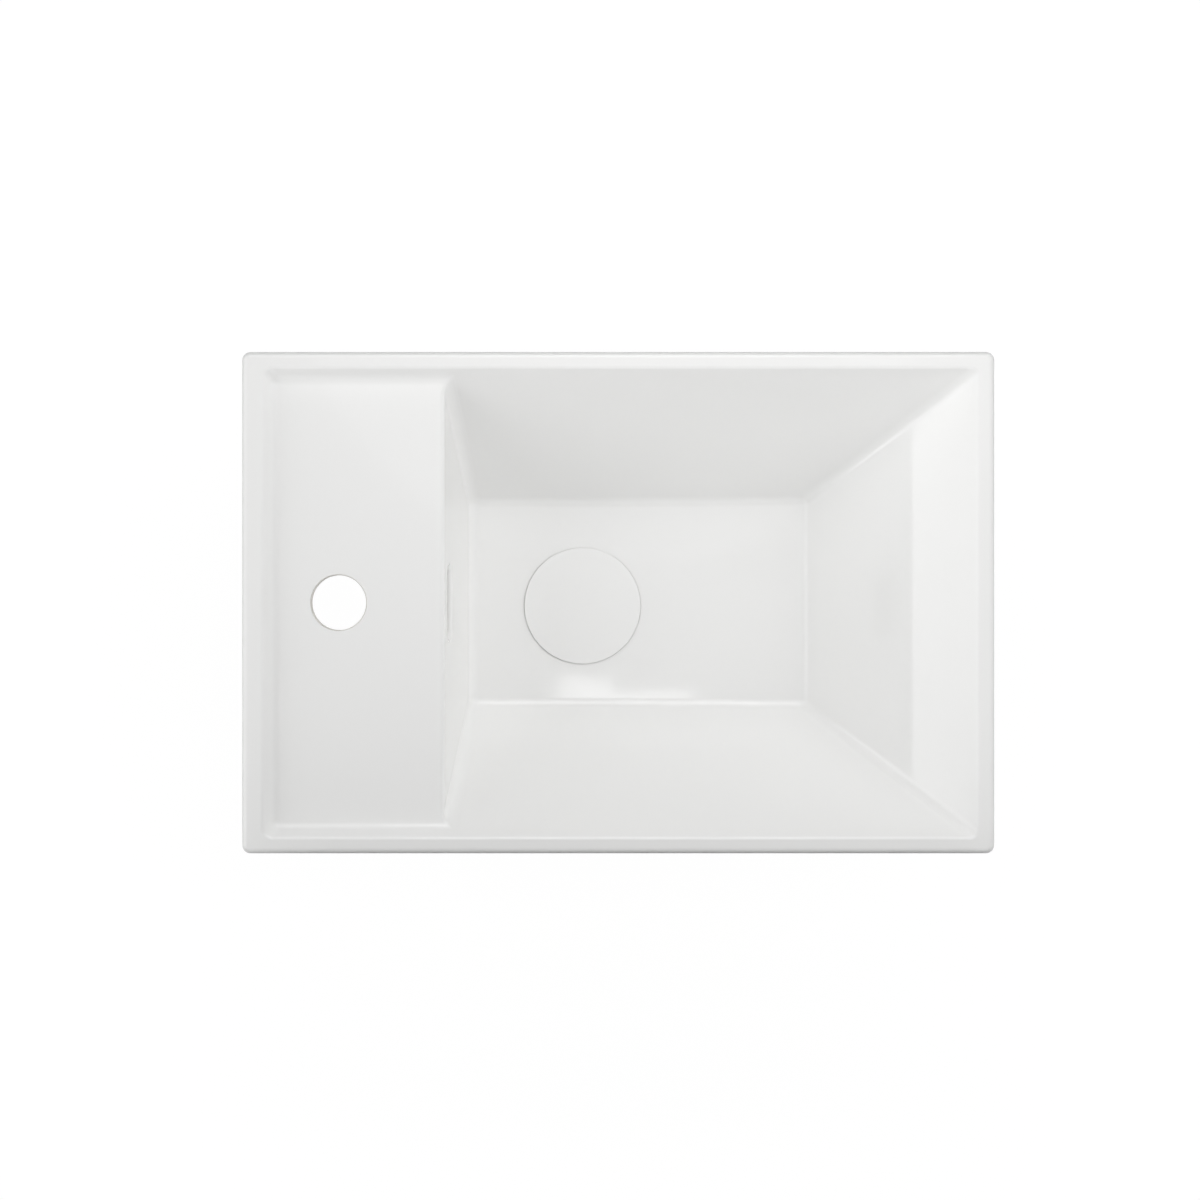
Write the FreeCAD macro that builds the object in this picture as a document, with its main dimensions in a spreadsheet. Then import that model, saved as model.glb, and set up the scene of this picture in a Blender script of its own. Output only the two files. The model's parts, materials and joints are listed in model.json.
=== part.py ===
import FreeCAD, Part
import math
import os
import Sketcher

# An inset washbasin: a glazed ceramic casting whose rim stands on a worktop, with a push-open
# waste in its floor and four clamps that pull the rim down from below.
# Millimetres, +Z up. The origin is in the middle of the rim's plan, in the worktop's plane.

SIZES = {
    # rim and deck
    "rim_length": 450,
    "rim_width": 300,
    "rim_height": 14,
    "rim_corner_radius": 5,
    "rim_border": 9.5,
    "rim_edge_radius": 3.5,
    "rim_lip_radius": 3,
    "rim_foot_radius": 1.5,
    "deck_border": 12.5,
    "deck_step_run": 6,
    "deck_drop": 8,
    "deck_thickness": 12,
    "deck_length": 120.5,
    "deck_edge_radius": 2.5,
    # bowl and skirt
    "bowl_depth": 98,
    "bowl_radius": 7.5,
    "left_wall_run": 12.8,
    "right_wall_run": 99,
    "side_wall_run": 77.5,
    "floor_radius": 8000,
    "wall_thickness": 9,
    "skirt_inset": 11,
    "skirt_radius": 12,
    # tap hole
    "tap_from_end": 57.4,
    "tap_hole_diameter": 33,
    "tap_edge_radius": 1,
    # overflow: slot in the steep wall, duct behind it, chamber round the waste
    "slot_length": 43,
    "slot_height": 12,
    "slot_drop": 20,
    "slot_corner_radius": 5,
    "slot_edge_radius": 3,
    "duct_width": 52,
    "duct_depth": 14,
    "housing_radius": 6,
    "chamber_diameter": 70,
    "chamber_height": 18,
    # strip between the rim and the worktop
    "seal_thickness": 2,
    "seal_width": 6,
    "seal_inset": 2,
    "seal_corner_radius": 4,
    # waste
    "drain_from_end": 203.2,
    "drain_offset": 2,
    "waste_hole_diameter": 46,
    "recess_depth": 5,
    "recess_clearance": 0.2,
    "recess_lean": 2,
    "flange_diameter": 65,
    "flange_thickness": 2,
    "flange_edge": 0.6,
    "flange_gasket_thickness": 1,
    "neck_clearance": 0.6,
    "tail_diameter": 41.9,
    "tail_bore": 35,
    "tail_chamfer": 1.5,
    "waste_length": 84,
    "relief_gap": 1,
    "relief_width": 2,
    "relief_depth": 0.8,
    "seat_bore": 39.2,
    "seat_depth": 10,
    "seat_chamfer": 0.6,
    "port_width": 14,
    "port_height": 12,
    "port_count": 4,
    "hub_diameter": 20,
    "hub_height": 10,
    "spoke_width": 4,
    "spoke_count": 3,
    "taper_gasket_diameter": 62,
    "taper_gasket_thickness": 5,
    "taper_gasket_land": 2,
    "slip_washer_diameter": 58,
    "slip_washer_thickness": 1.5,
    "nut_across_flats": 55,
    "nut_height": 10,
    "nut_chamfer": 2,
    "thread_clearance": 0.05,
    # cap and plug
    "cap_diameter": 72,
    "cap_gap": 1.4,
    "cap_edge_height": 1.9,
    "cap_edge_land": 0.35,
    "cap_dome": 0.6,
    "cap_edge_radius": 0.3,
    "plug_diameter": 37.6,
    "plug_engagement": 7,
    "plug_flange_diameter": 48,
    "plug_flange_thickness": 0.8,
    "ring_thickness": 3,
    "ring_height": 3,
    "insert_diameter": 10,
    "insert_length": 7,
    # push-open cartridge
    "cap_travel": 10,
    "tip_diameter": 6,
    "rod_diameter": 8,
    "head_diameter": 10.4,
    "head_height": 4,
    "rotor_height": 6,
    "rotor_diameter": 10.4,
    "rotor_bore": 4,
    "tooth_depth": 1.5,
    "tooth_width": 2.4,
    "tooth_count": 6,
    "spring_length": 14,
    "spring_diameter": 8.7,
    "spring_wire": 0.9,
    "spring_turns": 7,
    "cartridge_diameter": 14,
    "cartridge_bore": 11,
    "cartridge_rise": 8,
    "cartridge_roof": 4,
    "collar_diameter": 19,
    "collar_height": 3,
    "end_plug_height": 4,
    "end_plug_rim": 1.5,
    "run_clearance": 0.05,
    "turn_clearance": 0.2,
    "stop_clearance": 0.5,
    # clamps
    "clamp_from_end": 75,
    "clamp_from_side": 19,
    "clamp_boss_diameter": 17,
    "clamp_boss_drop": 26.5,
    "anchor_diameter": 10,
    "anchor_length": 14,
    "anchor_flange_diameter": 13,
    "anchor_flange_thickness": 1,
    "stud_diameter": 6,
    "stud_length": 60,
    "stud_chamfer": 0.8,
    "arm_drop": 37,
    "arm_length": 34,
    "arm_tail": 8,
    "arm_width": 12,
    "arm_thickness": 3,
    "arm_lip": 5,
    "arm_bend_radius": 1.5,
    "arm_corner_radius": 3,
    "arm_hole_clearance": 0.25,
    "clamp_washer_diameter": 13,
    "clamp_washer_thickness": 1.2,
    "wing_hub_top_diameter": 11,
    "wing_hub_end_diameter": 9,
    "wing_hub_height": 7,
    "wing_span": 26,
    "wing_drop": 13,
    "wing_thickness": 2.5,
    "wing_corner_radius": 1.5,
    # how far every cutting tool runs past what it cuts
    "overrun": 5,
}

# Places worked out from the sizes, in the order in which each needs the last.
PLACES = {
    # rim, deck and bowl
    "rim_foot": "Sizes.seal_thickness",
    "rim_top": "rim_foot + Sizes.rim_height",
    "rim_middle": "rim_foot + Sizes.rim_height / 2",
    "deck_top": "rim_top - Sizes.deck_drop",
    "deck_under": "deck_top - Sizes.deck_thickness",
    "floor_top": "rim_top - Sizes.bowl_depth",
    "left_end": "-Sizes.rim_length / 2",
    "right_end": "Sizes.rim_length / 2",
    "back_edge": "Sizes.rim_width / 2",
    "drain_x": "left_end + Sizes.drain_from_end",
    "drain_y": "-Sizes.drain_offset",
    "tap_x": "left_end + Sizes.tap_from_end",
    "step_x": "left_end + Sizes.deck_border",
    "deck_x": "step_x + Sizes.deck_step_run",
    "edge_x": "left_end + Sizes.deck_length",
    "floor_left": "edge_x + Sizes.left_wall_run",
    "wall_right": "right_end - Sizes.rim_border",
    "floor_right": "wall_right - Sizes.right_wall_run",
    "wall_back": "back_edge - Sizes.rim_border",
    "floor_centre": "floor_top + Sizes.floor_radius",
    "floor_left_top": "floor_centre - sqrt(Sizes.floor_radius ^ 2 - (drain_x - floor_left) ^ 2)",
    "floor_right_top": "floor_centre - sqrt(Sizes.floor_radius ^ 2 - (floor_right - drain_x) ^ 2)",
    # how far each wall runs sideways for each millimetre of depth, and its thickness measured level
    "step_slope": "Sizes.deck_step_run / Sizes.deck_drop",
    "side_slope": "Sizes.side_wall_run / Sizes.bowl_depth",
    "left_slope": "Sizes.left_wall_run / (deck_top - floor_left_top)",
    "right_slope": "Sizes.right_wall_run / (rim_top - floor_right_top)",
    "side_offset": "Sizes.wall_thickness * sqrt(1 + side_slope ^ 2)",
    "left_offset": "Sizes.wall_thickness * sqrt(1 + left_slope ^ 2)",
    "right_offset": "Sizes.wall_thickness * sqrt(1 + right_slope ^ 2)",
    "skirt_left": "left_end + Sizes.skirt_inset",
    # overflow
    "slot_z": "deck_top - Sizes.slot_drop",
    "duct_right": "edge_x - left_offset",
    "duct_left": "duct_right - Sizes.duct_depth",
    "housing_left": "duct_left - Sizes.wall_thickness",
    "chamber_r": "Sizes.chamber_diameter / 2",
    "chamber_top": "floor_top - Sizes.wall_thickness",
    "chamber_bottom": "chamber_top - Sizes.chamber_height",
    "boss_bottom": "chamber_bottom - Sizes.wall_thickness",
    # waste, from the recess down to the tail's end
    "recess_floor": "floor_top - Sizes.recess_depth",
    "recess_lean_foot": "floor_top - Sizes.recess_lean",
    "flange_foot": "recess_floor + Sizes.flange_gasket_thickness",
    "flange_top": "flange_foot + Sizes.flange_thickness",
    "flange_r": "Sizes.flange_diameter / 2",
    "neck_r": "Sizes.waste_hole_diameter / 2 - Sizes.neck_clearance",
    "tail_r": "Sizes.tail_diameter / 2",
    "tail_fit_r": "tail_r + Sizes.thread_clearance",
    "tail_bore_r": "Sizes.tail_bore / 2",
    "tail_end": "flange_top - Sizes.waste_length",
    "seat_r": "Sizes.seat_bore / 2",
    "seat_foot": "flange_top - Sizes.seat_depth",
    "port_middle": "(chamber_top + chamber_bottom) / 2",
    "hub_top": "chamber_bottom",
    "slip_washer_r": "Sizes.slip_washer_diameter / 2",
    "washer_top": "boss_bottom - Sizes.taper_gasket_thickness",
    "nut_top": "washer_top - Sizes.slip_washer_thickness",
    "nut_foot": "nut_top - Sizes.nut_height",
    "relief_top": "nut_foot - Sizes.relief_gap",
    "relief_foot": "relief_top - Sizes.relief_width",
    "relief_r": "tail_r - Sizes.relief_depth",
    # cap and plug
    "cap_under": "flange_top + Sizes.cap_gap",
    "cap_edge_top": "cap_under + Sizes.cap_edge_height",
    "cap_side_top": "cap_edge_top - Sizes.cap_edge_land",
    "cap_lean": "cap_side_top - cap_under",
    "cap_top": "cap_edge_top + Sizes.cap_dome",
    "cap_r": "Sizes.cap_diameter / 2",
    "cap_dome_radius": "(cap_r ^ 2 + Sizes.cap_dome ^ 2) / (2 * Sizes.cap_dome)",
    "plug_r": "Sizes.plug_diameter / 2",
    "plug_foot": "flange_top - Sizes.plug_engagement",
    "plug_top": "cap_under + Sizes.plug_flange_thickness",
    "plug_flange_r": "Sizes.plug_flange_diameter / 2",
    "ring_r": "seat_r - Sizes.run_clearance - Sizes.ring_thickness / 2",
    "ring_z": "plug_foot + Sizes.ring_height",
    "groove_r": "ring_r - Sizes.ring_thickness / 2 - Sizes.run_clearance",
    "groove_half": "Sizes.ring_thickness / 2 + Sizes.run_clearance",
    "insert_r": "Sizes.insert_diameter / 2",
    "insert_fit_r": "insert_r + Sizes.run_clearance",
    "insert_top": "plug_foot + Sizes.insert_length",
    "tip_r": "Sizes.tip_diameter / 2",
    "tip_fit_r": "tip_r + Sizes.thread_clearance",
    # cartridge, from its open top down
    "cartridge_top": "hub_top + Sizes.cartridge_rise",
    "cartridge_r": "Sizes.cartridge_diameter / 2",
    "cartridge_fit_r": "cartridge_r + Sizes.thread_clearance",
    "cartridge_bore_r": "Sizes.cartridge_bore / 2",
    "bore_top": "cartridge_top - Sizes.cartridge_roof",
    "rod_r": "Sizes.rod_diameter / 2",
    "rod_fit_r": "rod_r + Sizes.run_clearance",
    "head_r": "Sizes.head_diameter / 2",
    "head_top": "bore_top - Sizes.cap_travel - Sizes.stop_clearance",
    "head_foot": "head_top - Sizes.head_height",
    "rotor_top": "head_foot - Sizes.turn_clearance",
    "rotor_foot": "rotor_top - Sizes.rotor_height",
    "rotor_r": "Sizes.rotor_diameter / 2",
    "rotor_bore_r": "Sizes.rotor_bore / 2",
    "spring_top": "rotor_foot - Sizes.turn_clearance",
    "spring_foot": "spring_top - Sizes.spring_length",
    "cartridge_foot": "spring_foot - Sizes.end_plug_height",
    "rod_shoulder": "plug_foot - Sizes.turn_clearance",
    "tip_top": "insert_top - Sizes.turn_clearance",
    "end_plug_r": "cartridge_bore_r - Sizes.run_clearance",
    # clamps
    "clamp_x": "right_end - Sizes.clamp_from_end",
    "clamp_y": "back_edge - Sizes.clamp_from_side",
    "clamp_boss_foot": "rim_foot - Sizes.clamp_boss_drop",
    "anchor_top": "clamp_boss_foot + Sizes.anchor_length",
    "anchor_r": "Sizes.anchor_diameter / 2",
    "anchor_fit_r": "anchor_r + Sizes.thread_clearance",
    "anchor_foot": "clamp_boss_foot - Sizes.anchor_flange_thickness",
    "stud_r": "Sizes.stud_diameter / 2",
    "stud_fit_r": "stud_r + Sizes.thread_clearance",
    "stud_top": "anchor_top - Sizes.turn_clearance",
    "stud_foot": "stud_top - Sizes.stud_length",
    "stud_slip_r": "stud_r + Sizes.arm_hole_clearance",
    "arm_top": "-Sizes.arm_drop",
    "arm_foot": "arm_top - Sizes.arm_thickness",
    "clamp_washer_r": "Sizes.clamp_washer_diameter / 2",
    "clamp_washer_foot": "arm_foot - Sizes.clamp_washer_thickness",
}

# A wing nut's wings: shares of the half span and of the drop, down one side and up the other.
WING_SHARES = (
    (-1.0, 1.0),
    (-0.7, 1.0),
    (-0.27, 0.5),
    (0.27, 0.5),
    (0.7, 1.0),
    (1.0, 1.0),
    (1.0, 0.65),
    (0.27, 0.1),
    (-0.27, 0.1),
    (-1.0, 0.65),
)

# The clamps' corners of the plan, as the signs of x and y. Each tucked arm points along x to the middle.
CLAMP_CORNERS = ((-1, 1), (1, 1), (-1, -1), (1, -1))

# Pairs of arcs in each turn of a spring's path, and points on each turn where its gap is measured.
QUARTERS = 4
POINTS_ON_TURN = 48

# How close two lengths are when they count as the same, as a share of the rim's length.
SAME_SHARE = 1e-6

# Where a sketch's own x, y and normal point when it stands in no body.
PLANES = {
    "XZ": FreeCAD.Rotation(FreeCAD.Vector(1, 0, 0), FreeCAD.Vector(0, 0, 1), FreeCAD.Vector(0, -1, 0), "XYZ"),
    "YZ": FreeCAD.Rotation(FreeCAD.Vector(0, 1, 0), FreeCAD.Vector(0, 0, 1), FreeCAD.Vector(1, 0, 0), "XYZ"),
}

doc = FreeCAD.newDocument("washbasin")


def fill_sheet(name, cells):
    """A sheet with one named cell to a row."""
    sheet = doc.addObject("Spreadsheet::Sheet", name)
    for row, (alias, content) in enumerate(cells.items(), start=1):
        sheet.set(f"A{row}", alias)
        sheet.set(f"B{row}", content)
        sheet.setAlias(f"B{row}", alias)
    doc.recompute()
    return sheet


sizes = fill_sheet("Sizes", {alias: str(number) for alias, number in SIZES.items()})
places = fill_sheet("Places", {alias: f"={formula}" for alias, formula in PLACES.items()})


def value(expression):
    """The number that an expression on the sheets gives now."""
    return float(places.evalExpression(expression))


def same(first, second):
    return abs(first - second) < SAME_SHARE * sizes.rim_length


def bind(item, **expressions):
    """Binds an object's properties to expressions."""
    for name, expression in expressions.items():
        item.setExpression(name, expression)
    return item


def place(item, x="0", y="0", z="0"):
    for axis, expression in zip("xyz", (x, y, z)):
        item.setExpression(f"Placement.Base.{axis}", expression)
    return item


def on_drain(item):
    """Puts a piece of the waste, drawn about its own axis, on the drain's axis."""
    return place(item, "Places.drain_x", "Places.drain_y")


def arc_side(start, end, radius):
    """The counter-clockwise arc from start to end, less than a half circle."""
    chord = end - start
    left = FreeCAD.Vector(-chord.y, chord.x, 0).normalize()
    centre = (start + end) / 2 + left * math.sqrt(radius ** 2 - (chord.Length / 2) ** 2)
    angles = [math.atan2(point.y - centre.y, point.x - centre.x) for point in (start, end)]
    return Part.ArcOfCircle(Part.Circle(centre, FreeCAD.Vector(0, 0, 1), radius), *angles)


def outline(name, plane, corners, arcs=None, body=None, lift=None):
    """A closed sketch through corners, each placed by two expressions, counter-clockwise.

    arcs gives the radius of each side that bulges, by the side's number. In a body the sketch
    lies on one of the body's own planes, raised by lift.
    """
    if body:
        sketch = body.newObject("Sketcher::SketchObject", name)
        planes = {item.Role: item for item in body.Origin.OriginFeatures}
        sketch.AttachmentSupport = [(planes[f"{plane}_Plane"], "")]
        sketch.MapMode = "FlatFace"
        if lift:
            sketch.setExpression("AttachmentOffset.Base.z", lift)
    else:
        sketch = doc.addObject("Sketcher::SketchObject", name)
        sketch.Placement.Rotation = PLANES[plane]
    points = [FreeCAD.Vector(value(x), value(y), 0) for x, y in corners]
    arcs = arcs or {}
    for side, start in enumerate(points):
        end = points[(side + 1) % len(points)]
        if side in arcs:
            sketch.addGeometry(arc_side(start, end, value(arcs[side])))
        else:
            sketch.addGeometry(Part.LineSegment(start, end))
    for side, (point, corner) in enumerate(zip(points, corners)):
        sketch.addConstraint(Sketcher.Constraint("Coincident", side, 2, (side + 1) % len(points), 1))
        for kind, distance, expression in zip(("DistanceX", "DistanceY"), point, corner):
            number = sketch.addConstraint(Sketcher.Constraint(kind, -1, 1, side, 1, distance))
            sketch.setExpression(f"Constraints[{number}]", expression)
    for side, radius in arcs.items():
        number = sketch.addConstraint(Sketcher.Constraint("Radius", side, value(radius)))
        sketch.setExpression(f"Constraints[{number}]", radius)
    return sketch


def rectangle(left, right, low, high):
    return ((left, low), (right, low), (right, high), (left, high))


def circle(name, body, radius, lift="0"):
    """A circle about a body's own axis."""
    sketch = body.newObject("Sketcher::SketchObject", name)
    planes = {item.Role: item for item in body.Origin.OriginFeatures}
    sketch.AttachmentSupport = [(planes["XY_Plane"], "")]
    sketch.MapMode = "FlatFace"
    sketch.setExpression("AttachmentOffset.Base.z", lift)
    sketch.addGeometry(Part.Circle(FreeCAD.Vector(), FreeCAD.Vector(0, 0, 1), value(radius)))
    sketch.addConstraint(Sketcher.Constraint("Coincident", 0, 3, -1, 1))
    number = sketch.addConstraint(Sketcher.Constraint("Radius", 0, value(radius)))
    sketch.setExpression(f"Constraints[{number}]", radius)
    return sketch


def new_body(label):
    body = doc.addObject("PartDesign::Body", label)
    body.Label = label
    return body


def turned(label, corners, arcs=None):
    """A body turned about its own Z axis from a profile of radius and height."""
    body = new_body(label)
    turn = body.newObject("PartDesign::Revolution", f"{label}_turning")
    turn.Profile = outline(f"{label}_profile", "XZ", corners, arcs, body)
    turn.ReferenceAxis = (turn.Profile[0], ["V_Axis"])
    body.Tip = turn
    return body


def tube(label, inner, outer, low, high):
    """A turned ring with square edges."""
    return turned(label, rectangle(inner, outer, low, high))


def raised(body, name, sketch, length, symmetric=False, down=False):
    pad = body.newObject("PartDesign::Pad", name)
    pad.Profile = sketch
    pad.SideType = "Symmetric" if symmetric else "One side"
    pad.Reversed = down
    body.Tip = pad
    return bind(pad, Length=length)


def pierced(body, name, sketch):
    """Cuts a sketch right through a body on one side, and makes sure that it cut something."""
    doc.recompute()
    before = body.Shape.Volume
    pocket = body.newObject("PartDesign::Pocket", name)
    pocket.Profile = sketch
    pocket.Type = "ThroughAll"
    body.Tip = pocket
    doc.recompute()
    if not body.Shape.Volume < before:
        raise ValueError(f"{name} cut nothing")
    return pocket


def ringed(body, name, feature, count):
    """Repeats a body's feature round its own Z axis."""
    pattern = body.newObject("PartDesign::PolarPattern", name)
    pattern.Originals = [feature]
    pattern.Axis = ([item for item in body.Origin.OriginFeatures if item.Role == "Z_Axis"][0], [""])
    bind(pattern, Occurrences=count)
    body.Tip = pattern
    return pattern


def softened(body, name, radius, chosen):
    """Rounds the chosen edges of a body."""
    doc.recompute()
    base = body.Tip
    fillet = body.newObject("PartDesign::Fillet", name)
    edges = [f"Edge{number}" for number, edge in enumerate(base.Shape.Edges, start=1) if chosen(edge)]
    fillet.Base = (base, edges)
    body.Tip = fillet
    return bind(fillet, Radius=radius)


def prism(name, plane, corners, length, arcs=None):
    """An outline drawn out the same way to both sides of its plane."""
    solid = doc.addObject("Part::Extrusion", name)
    solid.Base = outline(f"{name}_outline", plane, corners, arcs)
    solid.DirMode = "Normal"
    solid.Symmetric = True
    solid.Solid = True
    return bind(solid, LengthFwd=length)


def cylinder(name, radius, low, high, x="0", y="0"):
    solid = doc.addObject("Part::Cylinder", name)
    bind(solid, Radius=radius, Height=f"{high} - ({low})")
    return place(solid, x, y, low)


def cone(name, low_radius, high_radius, low, high, x="0", y="0"):
    solid = doc.addObject("Part::Cone", name)
    bind(solid, Radius1=low_radius, Radius2=high_radius, Height=f"{high} - ({low})")
    return place(solid, x, y, low)


def box(name, left, right, front, back, low, high):
    solid = doc.addObject("Part::Box", name)
    bind(solid, Length=f"{right} - ({left})", Width=f"{back} - ({front})", Height=f"{high} - ({low})")
    return place(solid, left, front, low)


def combined(kind, name, pieces):
    solid = doc.addObject(kind, name)
    solid.Shapes = pieces
    return solid


def rounded(name, base, radii):
    """Rounds a solid's edges. radii pairs a size with the test that chooses its edges."""
    doc.recompute()
    fillet = doc.addObject("Part::Fillet", name)
    fillet.Base = base
    chosen = []
    for radius, test in radii:
        size = value(radius)
        numbers = [number for number, edge in enumerate(base.Shape.Edges, start=1) if test(edge)]
        if not numbers:
            raise ValueError(f"{name}: no edge to round by {radius}")
        chosen += [(number, size, size) for number in numbers]
    fillet.Edges = chosen
    return fillet


def level(edge, height):
    """Does this edge lie level at this height?"""
    return same(edge.BoundBox.ZMin, value(height)) and same(edge.BoundBox.ZMax, value(height))


def upright(edge):
    return same(edge.BoundBox.XLength, 0) and same(edge.BoundBox.YLength, 0)


def bowl_hollow():
    """What the deck and the bowl leave open above them."""
    top = "Places.rim_top + Sizes.overrun"
    low = "Places.floor_top - Sizes.overrun"
    along = prism(
        "hollow_along",
        "XZ",
        (
            ("Places.deck_x", "Places.deck_top"),
            ("Places.edge_x", "Places.deck_top"),
            ("Places.floor_left", "Places.floor_left_top"),
            ("Places.floor_right", "Places.floor_right_top"),
            ("Places.wall_right + Places.right_slope * Sizes.overrun", top),
            ("Places.step_x - Places.step_slope * Sizes.overrun", top),
        ),
        "Sizes.rim_width",
        arcs={2: "Sizes.floor_radius"},
    )
    low_side = "(Places.wall_back - Places.side_slope * (Sizes.bowl_depth + Sizes.overrun))"
    top_side = "(Places.wall_back + Places.side_slope * Sizes.overrun)"
    across = prism(
        "hollow_across",
        "YZ",
        ((f"-{low_side}", low), (low_side, low), (top_side, top), (f"-{top_side}", top)),
        "Sizes.rim_length",
    )
    sharp = combined("Part::MultiCommon", "hollow_sharp", [along, across])

    def deck_edge(edge):
        return level(edge, "Places.deck_top") and same(edge.BoundBox.XMin, places.edge_x)

    def corner(edge):
        return not level(edge, top) and not deck_edge(edge)

    corners = rounded("hollow_corners", sharp, [("Sizes.bowl_radius", corner)])
    return rounded("hollow", corners, [("Sizes.deck_edge_radius", deck_edge)])


def skirt():
    """The outside of the deck and the bowl, one wall thickness from the hollow."""
    top_depth = "(Places.rim_top - Places.rim_middle)"
    top_right = f"Places.wall_right + Places.right_offset - Places.right_slope * {top_depth}"
    wall_x = "Places.duct_right + Places.left_slope * Sizes.deck_thickness"
    along = prism(
        "skirt_along",
        "XZ",
        (
            ("Places.skirt_left", "Places.deck_under"),
            (wall_x, "Places.deck_under"),
            (
                "Places.floor_left - Places.left_offset + Places.left_slope * Sizes.wall_thickness",
                "Places.floor_left_top - Sizes.wall_thickness",
            ),
            (
                "Places.floor_right + Places.right_offset - Places.right_slope * Sizes.wall_thickness",
                "Places.floor_right_top - Sizes.wall_thickness",
            ),
            (top_right, "Places.rim_middle"),
            ("Places.skirt_left", "Places.rim_middle"),
        ),
        "Sizes.rim_width",
    )
    low = "Places.chamber_top - Sizes.overrun"
    top_side = f"(Places.wall_back + Places.side_offset - Places.side_slope * {top_depth})"
    low_depth = f"(Places.rim_top - ({low}))"
    low_side = f"(Places.wall_back + Places.side_offset - Places.side_slope * {low_depth})"
    across = prism(
        "skirt_across",
        "YZ",
        (
            (f"-{low_side}", low),
            (low_side, low),
            (top_side, "Places.rim_middle"),
            (f"-{top_side}", "Places.rim_middle"),
        ),
        "Sizes.rim_length",
    )
    sharp = combined("Part::MultiCommon", "skirt_sharp", [along, across])

    def bowl_corner(edge):
        right_of_deck = edge.BoundBox.XMin > places.duct_right
        return right_of_deck and not level(edge, "Places.rim_middle") and not level(edge, "Places.deck_under")

    return rounded("skirt", sharp, [("Sizes.skirt_radius", bowl_corner)])


def rim_block():
    block = box(
        "rim_sharp",
        "Places.left_end",
        "Places.right_end",
        "-Places.back_edge",
        "Places.back_edge",
        "Places.rim_foot",
        "Places.rim_top",
    )
    return rounded("rim_block", block, [("Sizes.rim_corner_radius", upright)])


def overflow_housing():
    deck_middle = "Places.deck_under + Sizes.deck_thickness / 2"
    sharp = prism(
        "housing_sharp",
        "XZ",
        (
            ("Places.housing_left", "Places.chamber_top - Sizes.wall_thickness / 2"),
            ("Places.duct_right", "Places.boss_bottom"),
            ("Places.drain_x", "Places.boss_bottom"),
            ("Places.drain_x", "Places.chamber_top"),
            ("Places.edge_x", deck_middle),
            ("Places.housing_left", deck_middle),
        ),
        "Sizes.duct_width + 2 * Sizes.wall_thickness",
    )

    def outer(edge):
        below_bowl = level(edge, "Places.boss_bottom") and edge.BoundBox.XMin < places.drain_x - sizes.overrun
        return below_bowl or edge.BoundBox.XMax < places.duct_right and not level(edge, deck_middle)

    return rounded("overflow_housing", sharp, [("Sizes.housing_radius", outer)])


def overflow_duct():
    return prism(
        "overflow_duct",
        "XZ",
        (
            ("Places.duct_left", "Places.chamber_top"),
            ("Places.duct_right", "Places.chamber_bottom"),
            ("Places.drain_x", "Places.chamber_bottom"),
            ("Places.drain_x", "Places.chamber_top"),
            ("Places.floor_left - Places.left_offset", "Places.chamber_top"),
            ("Places.duct_right", "Places.deck_under"),
            ("Places.duct_left", "Places.deck_under"),
        ),
        "Sizes.duct_width",
    )


def overflow_slot():
    slot = box(
        "slot_sharp",
        "(Places.duct_left + Places.duct_right) / 2",
        "Places.floor_left",
        "-Sizes.slot_length / 2",
        "Sizes.slot_length / 2",
        "Places.slot_z - Sizes.slot_height / 2",
        "Places.slot_z + Sizes.slot_height / 2",
    )

    def lengthwise(edge):
        return same(edge.BoundBox.YLength, 0) and same(edge.BoundBox.ZLength, 0)

    return rounded("overflow_slot", slot, [("Sizes.slot_corner_radius", lengthwise)])


def clamp_axis(corner):
    """The x and y of a clamp's stud."""
    return f"{corner[0]} * Places.clamp_x", f"{corner[1]} * Places.clamp_y"


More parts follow.
